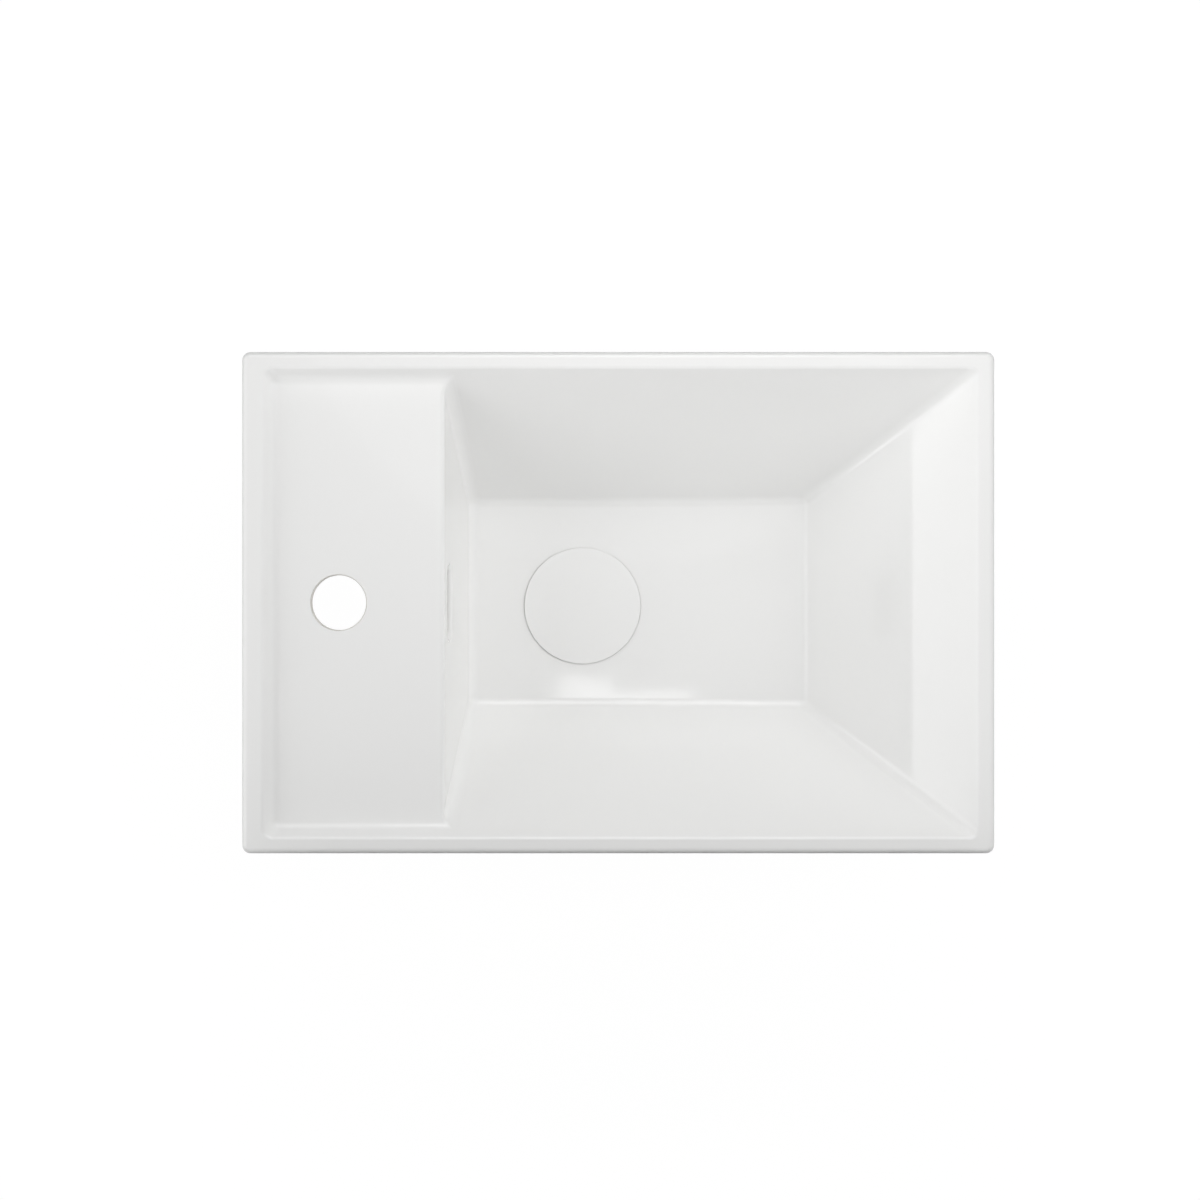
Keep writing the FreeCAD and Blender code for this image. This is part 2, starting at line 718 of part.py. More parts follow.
def basin():
    drain = ("Places.drain_x", "Places.drain_y")
    boss_r = "Places.chamber_r + Sizes.wall_thickness"
    boss = cylinder("waste_boss", boss_r, "Places.boss_bottom", "Places.floor_top", *drain)
    clamp_bosses = [
        cylinder(
            f"clamp_boss_{number}",
            "Sizes.clamp_boss_diameter / 2",
            "Places.clamp_boss_foot",
            "Places.rim_middle",
            *clamp_axis(corner),
        )
        for number, corner in enumerate(CLAMP_CORNERS, start=1)
    ]
    blank = combined(
        "Part::MultiFuse", "basin_blank", [rim_block(), skirt(), overflow_housing(), boss, *clamp_bosses]
    )
    # the recess's mouth leans as the cap's side does, so that the cap hides the gap between them
    mouth_r = "Places.cap_r + Sizes.recess_clearance"
    recess_r = f"{mouth_r} - Sizes.recess_lean"
    hollows = [
        bowl_hollow(),
        overflow_duct(),
        overflow_slot(),
        cylinder("chamber", "Places.chamber_r", "Places.chamber_bottom", "Places.chamber_top", *drain),
        cylinder(
            "waste_hole",
            "Sizes.waste_hole_diameter / 2",
            "Places.boss_bottom - Sizes.overrun",
            "Places.floor_top + Sizes.overrun",
            *drain,
        ),
        cylinder("recess", recess_r, "Places.recess_floor", "Places.floor_top + Sizes.overrun", *drain),
        cone(
            "recess_mouth",
            recess_r,
            f"{mouth_r} + Sizes.overrun",
            "Places.recess_lean_foot",
            "Places.floor_top + Sizes.overrun",
            *drain,
        ),
        cylinder(
            "tap_hole",
            "Sizes.tap_hole_diameter / 2",
            "Places.deck_under - Sizes.overrun",
            "Places.deck_top + Sizes.overrun",
            "Places.tap_x",
        ),
    ]
    hollows += [
        cylinder(
            f"anchor_hole_{number}",
            "Places.anchor_fit_r",
            "Places.clamp_boss_foot - Sizes.overrun",
            "Places.anchor_top",
            *clamp_axis(corner),
        )
        for number, corner in enumerate(CLAMP_CORNERS, start=1)
    ]
    sharp = doc.addObject("Part::Cut", "basin_sharp")
    sharp.Base = blank
    sharp.Tool = combined("Part::MultiFuse", "basin_hollows", hollows)

    def on_outside(edge):
        ends = [vertex.Point for vertex in edge.Vertexes]
        return all(same(abs(end.x), places.right_end) or same(abs(end.y), places.back_edge) for end in ends)

    def rim_edge(edge):
        return level(edge, "Places.rim_top") and on_outside(edge)

    def rim_lip(edge):
        return level(edge, "Places.rim_top") and not on_outside(edge)

    def rim_foot(edge):
        return level(edge, "Places.rim_foot") and on_outside(edge)

    def tap_edge(edge):
        return level(edge, "Places.deck_top") and same(edge.BoundBox.XLength, sizes.tap_hole_diameter)

    def slot_edge(edge):
        ends = [vertex.Point for vertex in edge.Vertexes]
        near_slot = abs(edge.CenterOfMass.z - places.slot_z) < sizes.slot_height
        beside_slot = abs(edge.CenterOfMass.y) < sizes.slot_length
        wall_x = [places.edge_x + places.left_slope * (places.deck_top - end.z) for end in ends]
        return near_slot and beside_slot and all(same(end.x, x) for end, x in zip(ends, wall_x))

    solid = rounded(
        "basin",
        sharp,
        [
            ("Sizes.rim_edge_radius", rim_edge),
            ("Sizes.rim_lip_radius", rim_lip),
            ("Sizes.rim_foot_radius", rim_foot),
            ("Sizes.tap_edge_radius", tap_edge),
            ("Sizes.slot_edge_radius", slot_edge),
        ],
    )
    return [solid]


def rim_seal():
    """The closed strip under the rim."""
    body = new_body("rim_seal")
    end = "(Places.right_end - Sizes.seal_inset)"
    side = "(Places.back_edge - Sizes.seal_inset)"
    inner_end = f"({end} - Sizes.seal_width)"
    inner_side = f"({side} - Sizes.seal_width)"
    whole = outline("strip_outline", "XY", rectangle(f"-{end}", end, f"-{side}", side), body=body)
    raised(body, "strip", whole, "Sizes.seal_thickness")
    softened(body, "strip_corners", "Sizes.seal_corner_radius", upright)
    opening = rectangle(f"-{inner_end}", inner_end, f"-{inner_side}", inner_side)
    opening_sketch = outline("opening_outline", "XY", opening, body=body, lift="Sizes.seal_thickness")
    pierced(body, "strip_opening", opening_sketch)
    return [body]


def waste_body():
    """The flanged tube, with ports for the overflow and a spider that carries the cartridge."""
    body = turned(
        "waste_body",
        (
            ("Places.tail_bore_r", "Places.tail_end"),
            ("Places.tail_r - Sizes.tail_chamfer", "Places.tail_end"),
            ("Places.tail_r", "Places.tail_end + Sizes.tail_chamfer"),
            ("Places.tail_r", "Places.relief_foot"),
            ("Places.relief_r", "Places.relief_foot"),
            ("Places.relief_r", "Places.relief_top"),
            ("Places.tail_r", "Places.relief_top"),
            ("Places.tail_r", "Places.chamber_top"),
            ("Places.neck_r", "Places.chamber_top"),
            ("Places.neck_r", "Places.flange_foot"),
            ("Places.flange_r", "Places.flange_foot"),
            ("Places.flange_r", "Places.flange_top - Sizes.flange_edge"),
            ("Places.flange_r - Sizes.flange_edge", "Places.flange_top"),
            ("Places.seat_r + Sizes.seat_chamfer", "Places.flange_top"),
            ("Places.seat_r", "Places.flange_top - Sizes.seat_chamfer"),
            ("Places.seat_r", "Places.seat_foot"),
            ("Places.tail_bore_r", "Places.seat_foot"),
        ),
    )
    half_spoke = "Sizes.spoke_width / 2"
    spoke_outline = rectangle("0", "(Places.tail_bore_r + Places.tail_r) / 2", f"-{half_spoke}", half_spoke)
    spoke_sketch = outline("spoke_outline", "XY", spoke_outline, body=body, lift="Places.hub_top")
    spoke = raised(body, "spoke", spoke_sketch, "Sizes.hub_height", down=True)
    ringed(body, "spokes", spoke, "Sizes.spoke_count")
    hub_sketch = circle("hub_outline", body, "Sizes.hub_diameter / 2", "Places.hub_top")
    raised(body, "hub", hub_sketch, "Sizes.hub_height", down=True)
    pierced(body, "hub_bore", circle("hub_bore_outline", body, "Places.cartridge_fit_r", "Places.hub_top"))
    port_outline = rectangle(
        "-Sizes.port_width / 2",
        "Sizes.port_width / 2",
        "Places.port_middle - Sizes.port_height / 2",
        "Places.port_middle + Sizes.port_height / 2",
    )
    port = pierced(body, "port", outline("port_outline", "XZ", port_outline, body=body))
    ringed(body, "ports", port, "Sizes.port_count")
    return [on_drain(body)]


def waste_fastening():
    """The gasket under the flange, and the gasket, washer and nut below the ceramic."""
    flange_gasket = tube(
        "flange_gasket",
        "Places.neck_r + Sizes.thread_clearance",
        "Places.flange_r",
        "Places.recess_floor",
        "Places.flange_foot",
    )
    taper_r = "Sizes.taper_gasket_diameter / 2"
    taper_gasket = turned(
        "taper_gasket",
        (
            ("Places.tail_fit_r", "Places.washer_top"),
            ("Places.slip_washer_r", "Places.washer_top"),
            (taper_r, "Places.boss_bottom - Sizes.taper_gasket_land"),
            (taper_r, "Places.boss_bottom"),
            ("Places.tail_fit_r", "Places.boss_bottom"),
        ),
    )
    slip_washer = tube(
        "slip_washer", "Places.tail_fit_r", "Places.slip_washer_r", "Places.nut_top", "Places.washer_top"
    )
    return [on_drain(piece) for piece in (flange_gasket, taper_gasket, slip_washer, lock_nut())]


def lock_nut():
    body = new_body("lock_nut")
    flat = "Sizes.nut_across_flats / 2"
    point = "Sizes.nut_across_flats / sqrt(3)"
    half_point = f"{point} / 2"
    hexagon = (
        (point, "0"),
        (half_point, flat),
        (f"-{half_point}", flat),
        (f"-{point}", "0"),
        (f"-{half_point}", f"-{flat}"),
        (half_point, f"-{flat}"),
    )
    raised(
        body,
        "nut_hexagon",
        outline("hexagon_outline", "XY", hexagon, body=body, lift="Places.nut_top"),
        "Sizes.nut_height",
        down=True,
    )
    pierced(body, "nut_bore", circle("nut_bore_outline", body, "Places.tail_fit_r", "Places.nut_top"))
    # the chamfer's cut runs on past the hexagon's points at the same slope
    past = f"{point} + Sizes.overrun"
    past_height = f"Sizes.nut_chamfer * (1 + Sizes.overrun / ({point} - {flat}))"
    chamfer = body.newObject("PartDesign::Groove", "nut_chamfer")
    chamfer.Profile = outline(
        "chamfer_outline",
        "XZ",
        ((flat, "Places.nut_foot"), (past, "Places.nut_foot"), (past, f"Places.nut_foot + {past_height}")),
        body=body,
    )
    chamfer.ReferenceAxis = (chamfer.Profile[0], ["V_Axis"])
    body.Tip = chamfer
    return body


def waste_cap():
    recess_r = "Places.plug_flange_r + Sizes.run_clearance"
    body = turned(
        "waste_cap",
        (
            ("0", "Places.plug_top"),
            (recess_r, "Places.plug_top"),
            (recess_r, "Places.cap_under"),
            ("Places.cap_r - Places.cap_lean", "Places.cap_under"),
            ("Places.cap_r", "Places.cap_side_top"),
            ("Places.cap_r", "Places.cap_edge_top"),
            ("0", "Places.cap_top"),
        ),
        arcs={5: "Places.cap_dome_radius"},
    )

    def top_edge(edge):
        return same(edge.BoundBox.XLength, sizes.cap_diameter) and level(edge, "Places.cap_edge_top")

    softened(body, "cap_edge", "Sizes.cap_edge_radius", top_edge)
    return [on_drain(body)]


def cap_plug():
    """The plug that carries the cap, with a groove for its ring and a pocket for its insert."""
    groove_low = "Places.ring_z - Places.groove_half"
    groove_high = "Places.ring_z + Places.groove_half"
    plug = turned(
        "cap_plug",
        (
            ("Places.insert_fit_r", "Places.plug_foot"),
            ("Places.plug_r", "Places.plug_foot"),
            ("Places.plug_r", groove_low),
            ("Places.groove_r", groove_low),
            ("Places.groove_r", groove_high),
            ("Places.plug_r", groove_high),
            ("Places.plug_r", "Places.cap_under"),
            ("Places.plug_flange_r", "Places.cap_under"),
            ("Places.plug_flange_r", "Places.plug_top"),
            ("0", "Places.plug_top"),
            ("0", "Places.insert_top"),
            ("Places.insert_fit_r", "Places.insert_top"),
        ),
    )
    ring = doc.addObject("Part::Torus", "cap_seal")
    bind(ring, Radius1="Places.ring_r", Radius2="Sizes.ring_thickness / 2")
    place(ring, "Places.drain_x", "Places.drain_y", "Places.ring_z")
    insert = tube(
        "cap_insert", "Places.tip_fit_r", "Places.insert_r", "Places.plug_foot", "Places.insert_top"
    )
    return [on_drain(plug), ring, on_drain(insert)]


def plunger():
    body = turned(
        "plunger",
        (
            ("0", "Places.head_foot"),
            ("Places.head_r", "Places.head_foot"),
            ("Places.head_r", "Places.head_top"),
            ("Places.rod_r", "Places.head_top"),
            ("Places.rod_r", "Places.rod_shoulder"),
            ("Places.tip_r", "Places.rod_shoulder"),
            ("Places.tip_r", "Places.tip_top"),
            ("0", "Places.tip_top"),
        ),
    )
    return [on_drain(body)]


def latch_rotor():
    """The ring that turns a step at each push, with saw teeth round its top."""
    body = tube(
        "latch_rotor", "Places.rotor_bore_r", "Places.rotor_r", "Places.rotor_foot", "Places.rotor_top"
    )
    tooth_outline = (
        ("0", "Places.rotor_top - Sizes.tooth_depth"),
        ("Sizes.tooth_width", "Places.rotor_top"),
        ("Sizes.tooth_width", "Places.rotor_top + Sizes.overrun"),
        ("0", "Places.rotor_top + Sizes.overrun"),
    )
    tooth = pierced(body, "tooth", outline("tooth_outline", "XZ", tooth_outline, body=body))
    ringed(body, "teeth", tooth, "Sizes.tooth_count")
    return [on_drain(body)]


def cartridge():
    """The guide tube of the push-open mechanism and the plug in its foot."""
    collar_r = "Sizes.collar_diameter / 2"
    collar_top = "Places.hub_top + Sizes.collar_height"
    guide = turned(
        "cartridge_body",
        (
            ("Places.cartridge_bore_r", "Places.cartridge_foot"),
            ("Places.cartridge_r", "Places.cartridge_foot"),
            ("Places.cartridge_r", "Places.hub_top"),
            (collar_r, "Places.hub_top"),
            (collar_r, collar_top),
            ("Places.cartridge_r", collar_top),
            ("Places.cartridge_r", "Places.cartridge_top"),
            ("Places.rod_fit_r", "Places.cartridge_top"),
            ("Places.rod_fit_r", "Places.bore_top"),
            ("Places.cartridge_bore_r", "Places.bore_top"),
        ),
    )
    end_foot = "Places.cartridge_foot - Sizes.end_plug_rim"
    end_plug = turned(
        "cartridge_plug",
        (
            ("0", end_foot),
            ("Places.cartridge_r", end_foot),
            ("Places.cartridge_r", "Places.cartridge_foot"),
            ("Places.end_plug_r", "Places.cartridge_foot"),
            ("Places.end_plug_r", "Places.spring_foot"),
            ("0", "Places.spring_foot"),
        ),
    )
    return [on_drain(guide), on_drain(end_plug)]


def arc_between(start, tangent, reach, end):
    """The arc from start along tangent to end, whose two tangents both have the length reach."""
    apex = start + tangent * reach
    middle = (start + end) / 2
    bend = tangent.getAngle(end - start)
    crest = middle + (apex - middle) * (math.cos(bend) / (1 + math.cos(bend)))
    return Part.Arc(start, crest, end).toShape()


def biarc(start, start_tangent, end, end_tangent):
    """Two arcs that join start to end and meet along one line."""
    chord = end - start
    along = chord.dot(start_tangent + end_tangent)
    turn = 2 * (1 - start_tangent.dot(end_tangent))
    reach = (math.sqrt(along ** 2 + turn * chord.dot(chord)) - along) / turn
    joint = (start + start_tangent * reach + end - end_tangent * reach) / 2
    joint_tangent = (end - end_tangent * reach - start - start_tangent * reach).normalize()
    return [arc_between(start, start_tangent, reach, joint), arc_between(joint, joint_tangent, reach, end)]


def least_gap(path, turns):
    """The least distance between points of a coiled path that are half a turn or more apart."""
    count = round(turns * POINTS_ON_TURN)
    points = path.discretize(Number=count + 1)
    apart = round(POINTS_ON_TURN / 2)
    return min(
        (second - first).Length
        for number, first in enumerate(points)
        for second in points[number + apart:]
    )


def return_spring():
    """A coil of round wire, as one unbroken tube, standing on the cartridge's end plug."""
    wire_r = sizes.spring_wire / 2
    coil_r = sizes.spring_diameter / 2 - wire_r
    rise = (sizes.spring_length - sizes.spring_wire) / sizes.spring_turns
    foot = places.spring_foot + wire_r
    steps = round(sizes.spring_turns * QUARTERS)
    points = []
    tangents = []
    for step in range(steps + 1):
        angle = 2 * math.pi * step / QUARTERS
        outward = FreeCAD.Vector(math.cos(angle), math.sin(angle), 0)
        around = FreeCAD.Vector(-math.sin(angle), math.cos(angle), rise / (2 * math.pi * coil_r))
        points.append(outward * coil_r + FreeCAD.Vector(0, 0, foot + rise * step / QUARTERS))
        tangents.append(around.normalize())
    arcs = []
    for step in range(steps):
        arcs += biarc(points[step], tangents[step], points[step + 1], tangents[step + 1])
    path = Part.Wire(arcs)
    section = Part.Wire([Part.makeCircle(wire_r, points[0], tangents[0])])
    spring = doc.addObject("Part::Feature", "return_spring")
    spring.Shape = path.makePipeShell([section], True)
    gap = least_gap(path, sizes.spring_turns) - sizes.spring_wire
    print(f"return_spring: least gap to itself {gap:.3f} mm")
    return [on_drain(spring)]


def clamp_anchor(number, corner):
    anchor_flange_r = "Sizes.anchor_flange_diameter / 2"
    body = turned(
        f"clamp_anchor_{number}",
        (
            ("Places.stud_fit_r", "Places.anchor_foot"),
            (anchor_flange_r, "Places.anchor_foot"),
            (anchor_flange_r, "Places.clamp_boss_foot"),
            ("Places.anchor_r", "Places.clamp_boss_foot"),
            ("Places.anchor_r", "Places.anchor_top"),
            ("Places.stud_fit_r", "Places.anchor_top"),
        ),
    )
    return place(body, *clamp_axis(corner))


def clamp_stud(number, corner):
    body = turned(
        f"clamp_stud_{number}",
        (
            ("0", "Places.stud_foot"),
            ("Places.stud_r - Sizes.stud_chamfer", "Places.stud_foot"),
            ("Places.stud_r", "Places.stud_foot + Sizes.stud_chamfer"),
            ("Places.stud_r", "Places.stud_top"),
            ("0", "Places.stud_top"),
        ),
    )
    return place(body, *clamp_axis(corner))


def clamp_arm(number, corner):
    """A steel strip with its end bent up, tucked along the rim and pointing to the middle."""
    label = f"clamp_arm_{number}"
    body = new_body(label)
    lip_x = "Sizes.arm_length - Sizes.arm_thickness"
    profile = (
        ("-Sizes.arm_tail", "-Sizes.arm_thickness"),
        ("Sizes.arm_length", "-Sizes.arm_thickness"),
        ("Sizes.arm_length", "Sizes.arm_lip"),
        (lip_x, "Sizes.arm_lip"),
        (lip_x, "0"),
        ("-Sizes.arm_tail", "0"),
    )
    strip_sketch = outline(f"{label}_profile", "XZ", profile, body=body)
    raised(body, f"{label}_strip", strip_sketch, "Sizes.arm_width", symmetric=True)
    pierced(body, f"{label}_hole", circle(f"{label}_hole_outline", body, "Places.stud_slip_r"))

    def inner_bend(edge):
        return level(edge, "0") and same(edge.BoundBox.XMin, value(lip_x))

    def outer_bend(edge):
        return level(edge, "-Sizes.arm_thickness") and same(edge.BoundBox.XMin, sizes.arm_length)

    def tail_corner(edge):
        return upright(edge) and same(edge.BoundBox.XMin, -sizes.arm_tail)

    softened(body, f"{label}_inner_bend", "Sizes.arm_bend_radius", inner_bend)
    softened(body, f"{label}_outer_bend", "Sizes.arm_bend_radius + Sizes.arm_thickness", outer_bend)
    softened(body, f"{label}_tail", "Sizes.arm_corner_radius", tail_corner)
    body.Placement.Rotation = FreeCAD.Rotation(FreeCAD.Vector(0, 0, 1), 180 if corner[0] > 0 else 0)
    return place(body, *clamp_axis(corner), "Places.arm_top")


def clamp_washer(number, corner):
    label = f"clamp_washer_{number}"
    body = tube(label, "Places.stud_slip_r", "Places.clamp_washer_r", "-Sizes.clamp_washer_thickness", "0")
    return place(body, *clamp_axis(corner), "Places.arm_foot")


def wing_nut(number, corner):
    """A conical hub with two wings that reach down past its end."""
    label = f"wing_nut_{number}"
    body = turned(
        label,
        (
            ("0", "-Sizes.wing_hub_height"),
            ("Sizes.wing_hub_end_diameter / 2", "-Sizes.wing_hub_height"),
            ("Sizes.wing_hub_top_diameter / 2", "0"),
            ("0", "0"),
        ),
    )
    wings = [(f"{x} * Sizes.wing_span / 2", f"-{z} * Sizes.wing_drop") for x, z in WING_SHARES]
    wing_sketch = outline(f"{label}_outline", "XZ", wings, body=body)
    raised(body, f"{label}_wings", wing_sketch, "Sizes.wing_thickness", symmetric=True)
    pierced(body, f"{label}_bore", circle(f"{label}_bore_outline", body, "Places.stud_fit_r"))

    def wing_tip(edge):
        across = same(edge.BoundBox.YLength, sizes.wing_thickness) and same(edge.BoundBox.ZLength, 0)
        return across and same(abs(edge.CenterOfMass.x), sizes.wing_span / 2)

    softened(body, f"{label}_tips", "Sizes.wing_corner_radius", wing_tip)
    return place(body, *clamp_axis(corner), "Places.clamp_washer_foot")


def clamps():
    """Four clamps. The fixed pieces of a kind are one group, and the moving ones stand alone."""
    corners = list(enumerate(CLAMP_CORNERS, start=1))
    found = []
    for label, make in (("clamp_anchors", clamp_anchor), ("clamp_studs", clamp_stud)):
        group = doc.addObject("Part::Compound", label)
        group.Links = [make(number, corner) for number, corner in corners]
        found.append(group)
    for make in (clamp_arm, clamp_washer, wing_nut):
        found += [make(number, corner) for number, corner in corners]
    return found


def build():
    pieces = []
    for make in (
        basin,
        rim_seal,
        waste_body,
        waste_fastening,
        waste_cap,
        cap_plug,
        plunger,
        latch_rotor,
        cartridge,
        return_spring,
        clamps,
    ):
        pieces += make()
    doc.recompute()
    failed = [item.Label for item in doc.Objects if {"Invalid", "Error"} & set(item.State)]
    failed += [piece.Label for piece in pieces if piece.Shape.isNull() or not piece.Shape.isValid()]
    if failed:
        raise ValueError(f"failed: {failed}")
    return pieces


def export(pieces):
    os.makedirs("parts", exist_ok=True)
    for piece in pieces:
        piece.Shape.exportStep(f"parts/{piece.Label}.step")
        print(f"{piece.Label}: {len(piece.Shape.Solids)} solids, {piece.Shape.Volume:.1f} cubic mm")


export(build())
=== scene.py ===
import json
import math

import bmesh
import bpy
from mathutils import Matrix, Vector


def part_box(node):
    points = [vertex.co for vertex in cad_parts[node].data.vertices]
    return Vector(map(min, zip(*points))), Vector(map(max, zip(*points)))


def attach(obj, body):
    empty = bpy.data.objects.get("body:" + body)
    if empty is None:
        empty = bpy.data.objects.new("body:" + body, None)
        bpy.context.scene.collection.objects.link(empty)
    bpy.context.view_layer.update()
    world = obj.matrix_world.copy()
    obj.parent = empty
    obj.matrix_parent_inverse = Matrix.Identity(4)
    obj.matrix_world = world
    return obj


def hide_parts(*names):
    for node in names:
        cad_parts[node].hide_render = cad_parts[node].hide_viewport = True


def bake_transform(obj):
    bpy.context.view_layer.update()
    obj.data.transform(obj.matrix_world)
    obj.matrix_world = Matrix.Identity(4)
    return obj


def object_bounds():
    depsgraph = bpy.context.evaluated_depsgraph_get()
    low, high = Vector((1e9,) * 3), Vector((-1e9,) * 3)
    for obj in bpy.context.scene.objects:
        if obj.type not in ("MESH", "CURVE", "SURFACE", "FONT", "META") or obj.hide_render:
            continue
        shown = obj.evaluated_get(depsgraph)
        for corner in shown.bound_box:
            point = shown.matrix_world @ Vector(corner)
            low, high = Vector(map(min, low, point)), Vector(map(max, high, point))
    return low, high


# An inset washbasin of white glazed china with its push-open waste and its clamps, seen from
# straight above on a white ground. Metres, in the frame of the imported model: +Z up, the origin
# in the middle of the rim's plan, at the worktop's height.

MM = 0.001
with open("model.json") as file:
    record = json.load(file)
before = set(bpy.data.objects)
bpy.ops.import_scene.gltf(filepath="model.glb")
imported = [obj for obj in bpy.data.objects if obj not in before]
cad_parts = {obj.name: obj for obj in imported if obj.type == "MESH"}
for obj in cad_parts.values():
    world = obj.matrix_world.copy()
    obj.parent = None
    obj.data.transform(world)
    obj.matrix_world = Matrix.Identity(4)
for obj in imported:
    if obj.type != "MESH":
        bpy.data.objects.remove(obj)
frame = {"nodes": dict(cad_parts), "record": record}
nodes = frame["nodes"]
cad_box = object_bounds()
carriers = {
    node: body for body, members in frame["record"]["behaviour"]["bodies"].items() for node in members
}


def middle(node):
    """The middle of a CAD node's box."""
    low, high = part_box(node)
    return (low + high) / 2


# The upright axes that pieces are turned about: the waste's, and the clamp's at the back right.
# The four clamps mirror each other across both middle planes.
DRAIN = middle("waste_cap")
CLAMP = middle("clamp_washer_2")
CLAMPS = ("1", "2", "3", "4")

# The tap hole: its edge's rounding in millimetres, its upright axis, and its radius with that edge.
TAP_EDGE = 1
tap_hole = next(mount for mount in frame["record"]["mounts"] if mount["name"] == "tap_hole")
TAP_AXIS = Vector(tap_hole["pos_m"])
TAP_REACH = (tap_hole["dims"]["r_mm"] + TAP_EDGE) * MM


def linear(hex_colour):
    """An sRGB hex colour as linear red, green, blue and alpha."""
    shares = [int(hex_colour[place:place + 2], 16) / 255 for place in (1, 3, 5)]
    return [s / 12.92 if s <= 0.04045 else ((s + 0.055) / 1.055) ** 2.4 for s in shares] + [1.0]


def repeats(size):
    """The texture scale at which a pattern's features are this many millimetres across."""
    return 1 / (size * MM)


def add(tree, kind, inputs=None, **settings):
    """Adds a node with its settings. Each input is a value, or another node's output to link to."""
    made = tree.nodes.new(kind)
    for name, setting in settings.items():
        setattr(made, name, setting)
    for socket, source in (inputs or {}).items():
        if isinstance(source, bpy.types.NodeSocket):
            tree.links.new(source, made.inputs[socket])
        else:
            made.inputs[socket].default_value = source
    return made


# The sockets of a Mix node that mixes colours
MIX_A, MIX_B, MIX_RESULT = 6, 7, 2


def new_material(name):
    """An empty material, its tree and its surface's place on the piece."""
    material = bpy.data.materials.new(name)
    material.use_nodes = True
    material.node_tree.nodes.clear()
    return material, material.node_tree, add(material.node_tree, "ShaderNodeTexCoord").outputs["Object"]


def surfaced(material, **inputs):
    """Ends a material's tree in one shader. An input's name has _ for each space."""
    tree = material.node_tree
    named = {name.replace("_", " "): source for name, source in inputs.items()}
    shader = add(tree, "ShaderNodeBsdfPrincipled", named)
    add(tree, "ShaderNodeOutputMaterial", {"Surface": shader.outputs["BSDF"]})
    return material


def around(tree, place, axis):
    """A turned piece's own coordinates: the distance from its upright axis, and the height."""
    off_axis = add(tree, "ShaderNodeVectorMath", {0: place, 1: (axis.x, axis.y, 0)}, operation="SUBTRACT")
    level = add(tree, "ShaderNodeVectorMath", {0: off_axis.outputs[0], 1: (1, 1, 0)}, operation="MULTIPLY")
    distance = add(tree, "ShaderNodeVectorMath", {0: level.outputs[0]}, operation="LENGTH")
    height = add(tree, "ShaderNodeSeparateXYZ", {0: place})
    turned = add(tree, "ShaderNodeCombineXYZ", {0: distance.outputs["Value"], 1: height.outputs["Z"]})
    return turned.outputs[0]


def any_clamp(tree, place):
    """The same place on the back right clamp, for all four."""
    return add(tree, "ShaderNodeVectorMath", {0: place}, operation="ABSOLUTE").outputs[0]


# The glaze fades out over this height, and between these shares of facing up on the outer sides. Between
# the second pair, the rounded edge of the tap hole turns to painted shade in the clay's darker tone.
GLAZE_LINE = 0.1 * MM
SIDE_GLAZED, SIDE_BARE = 0.1, 0.02
HOLE_SHADE_START, HOLE_SHADE_FULL = 0.97, 0.85


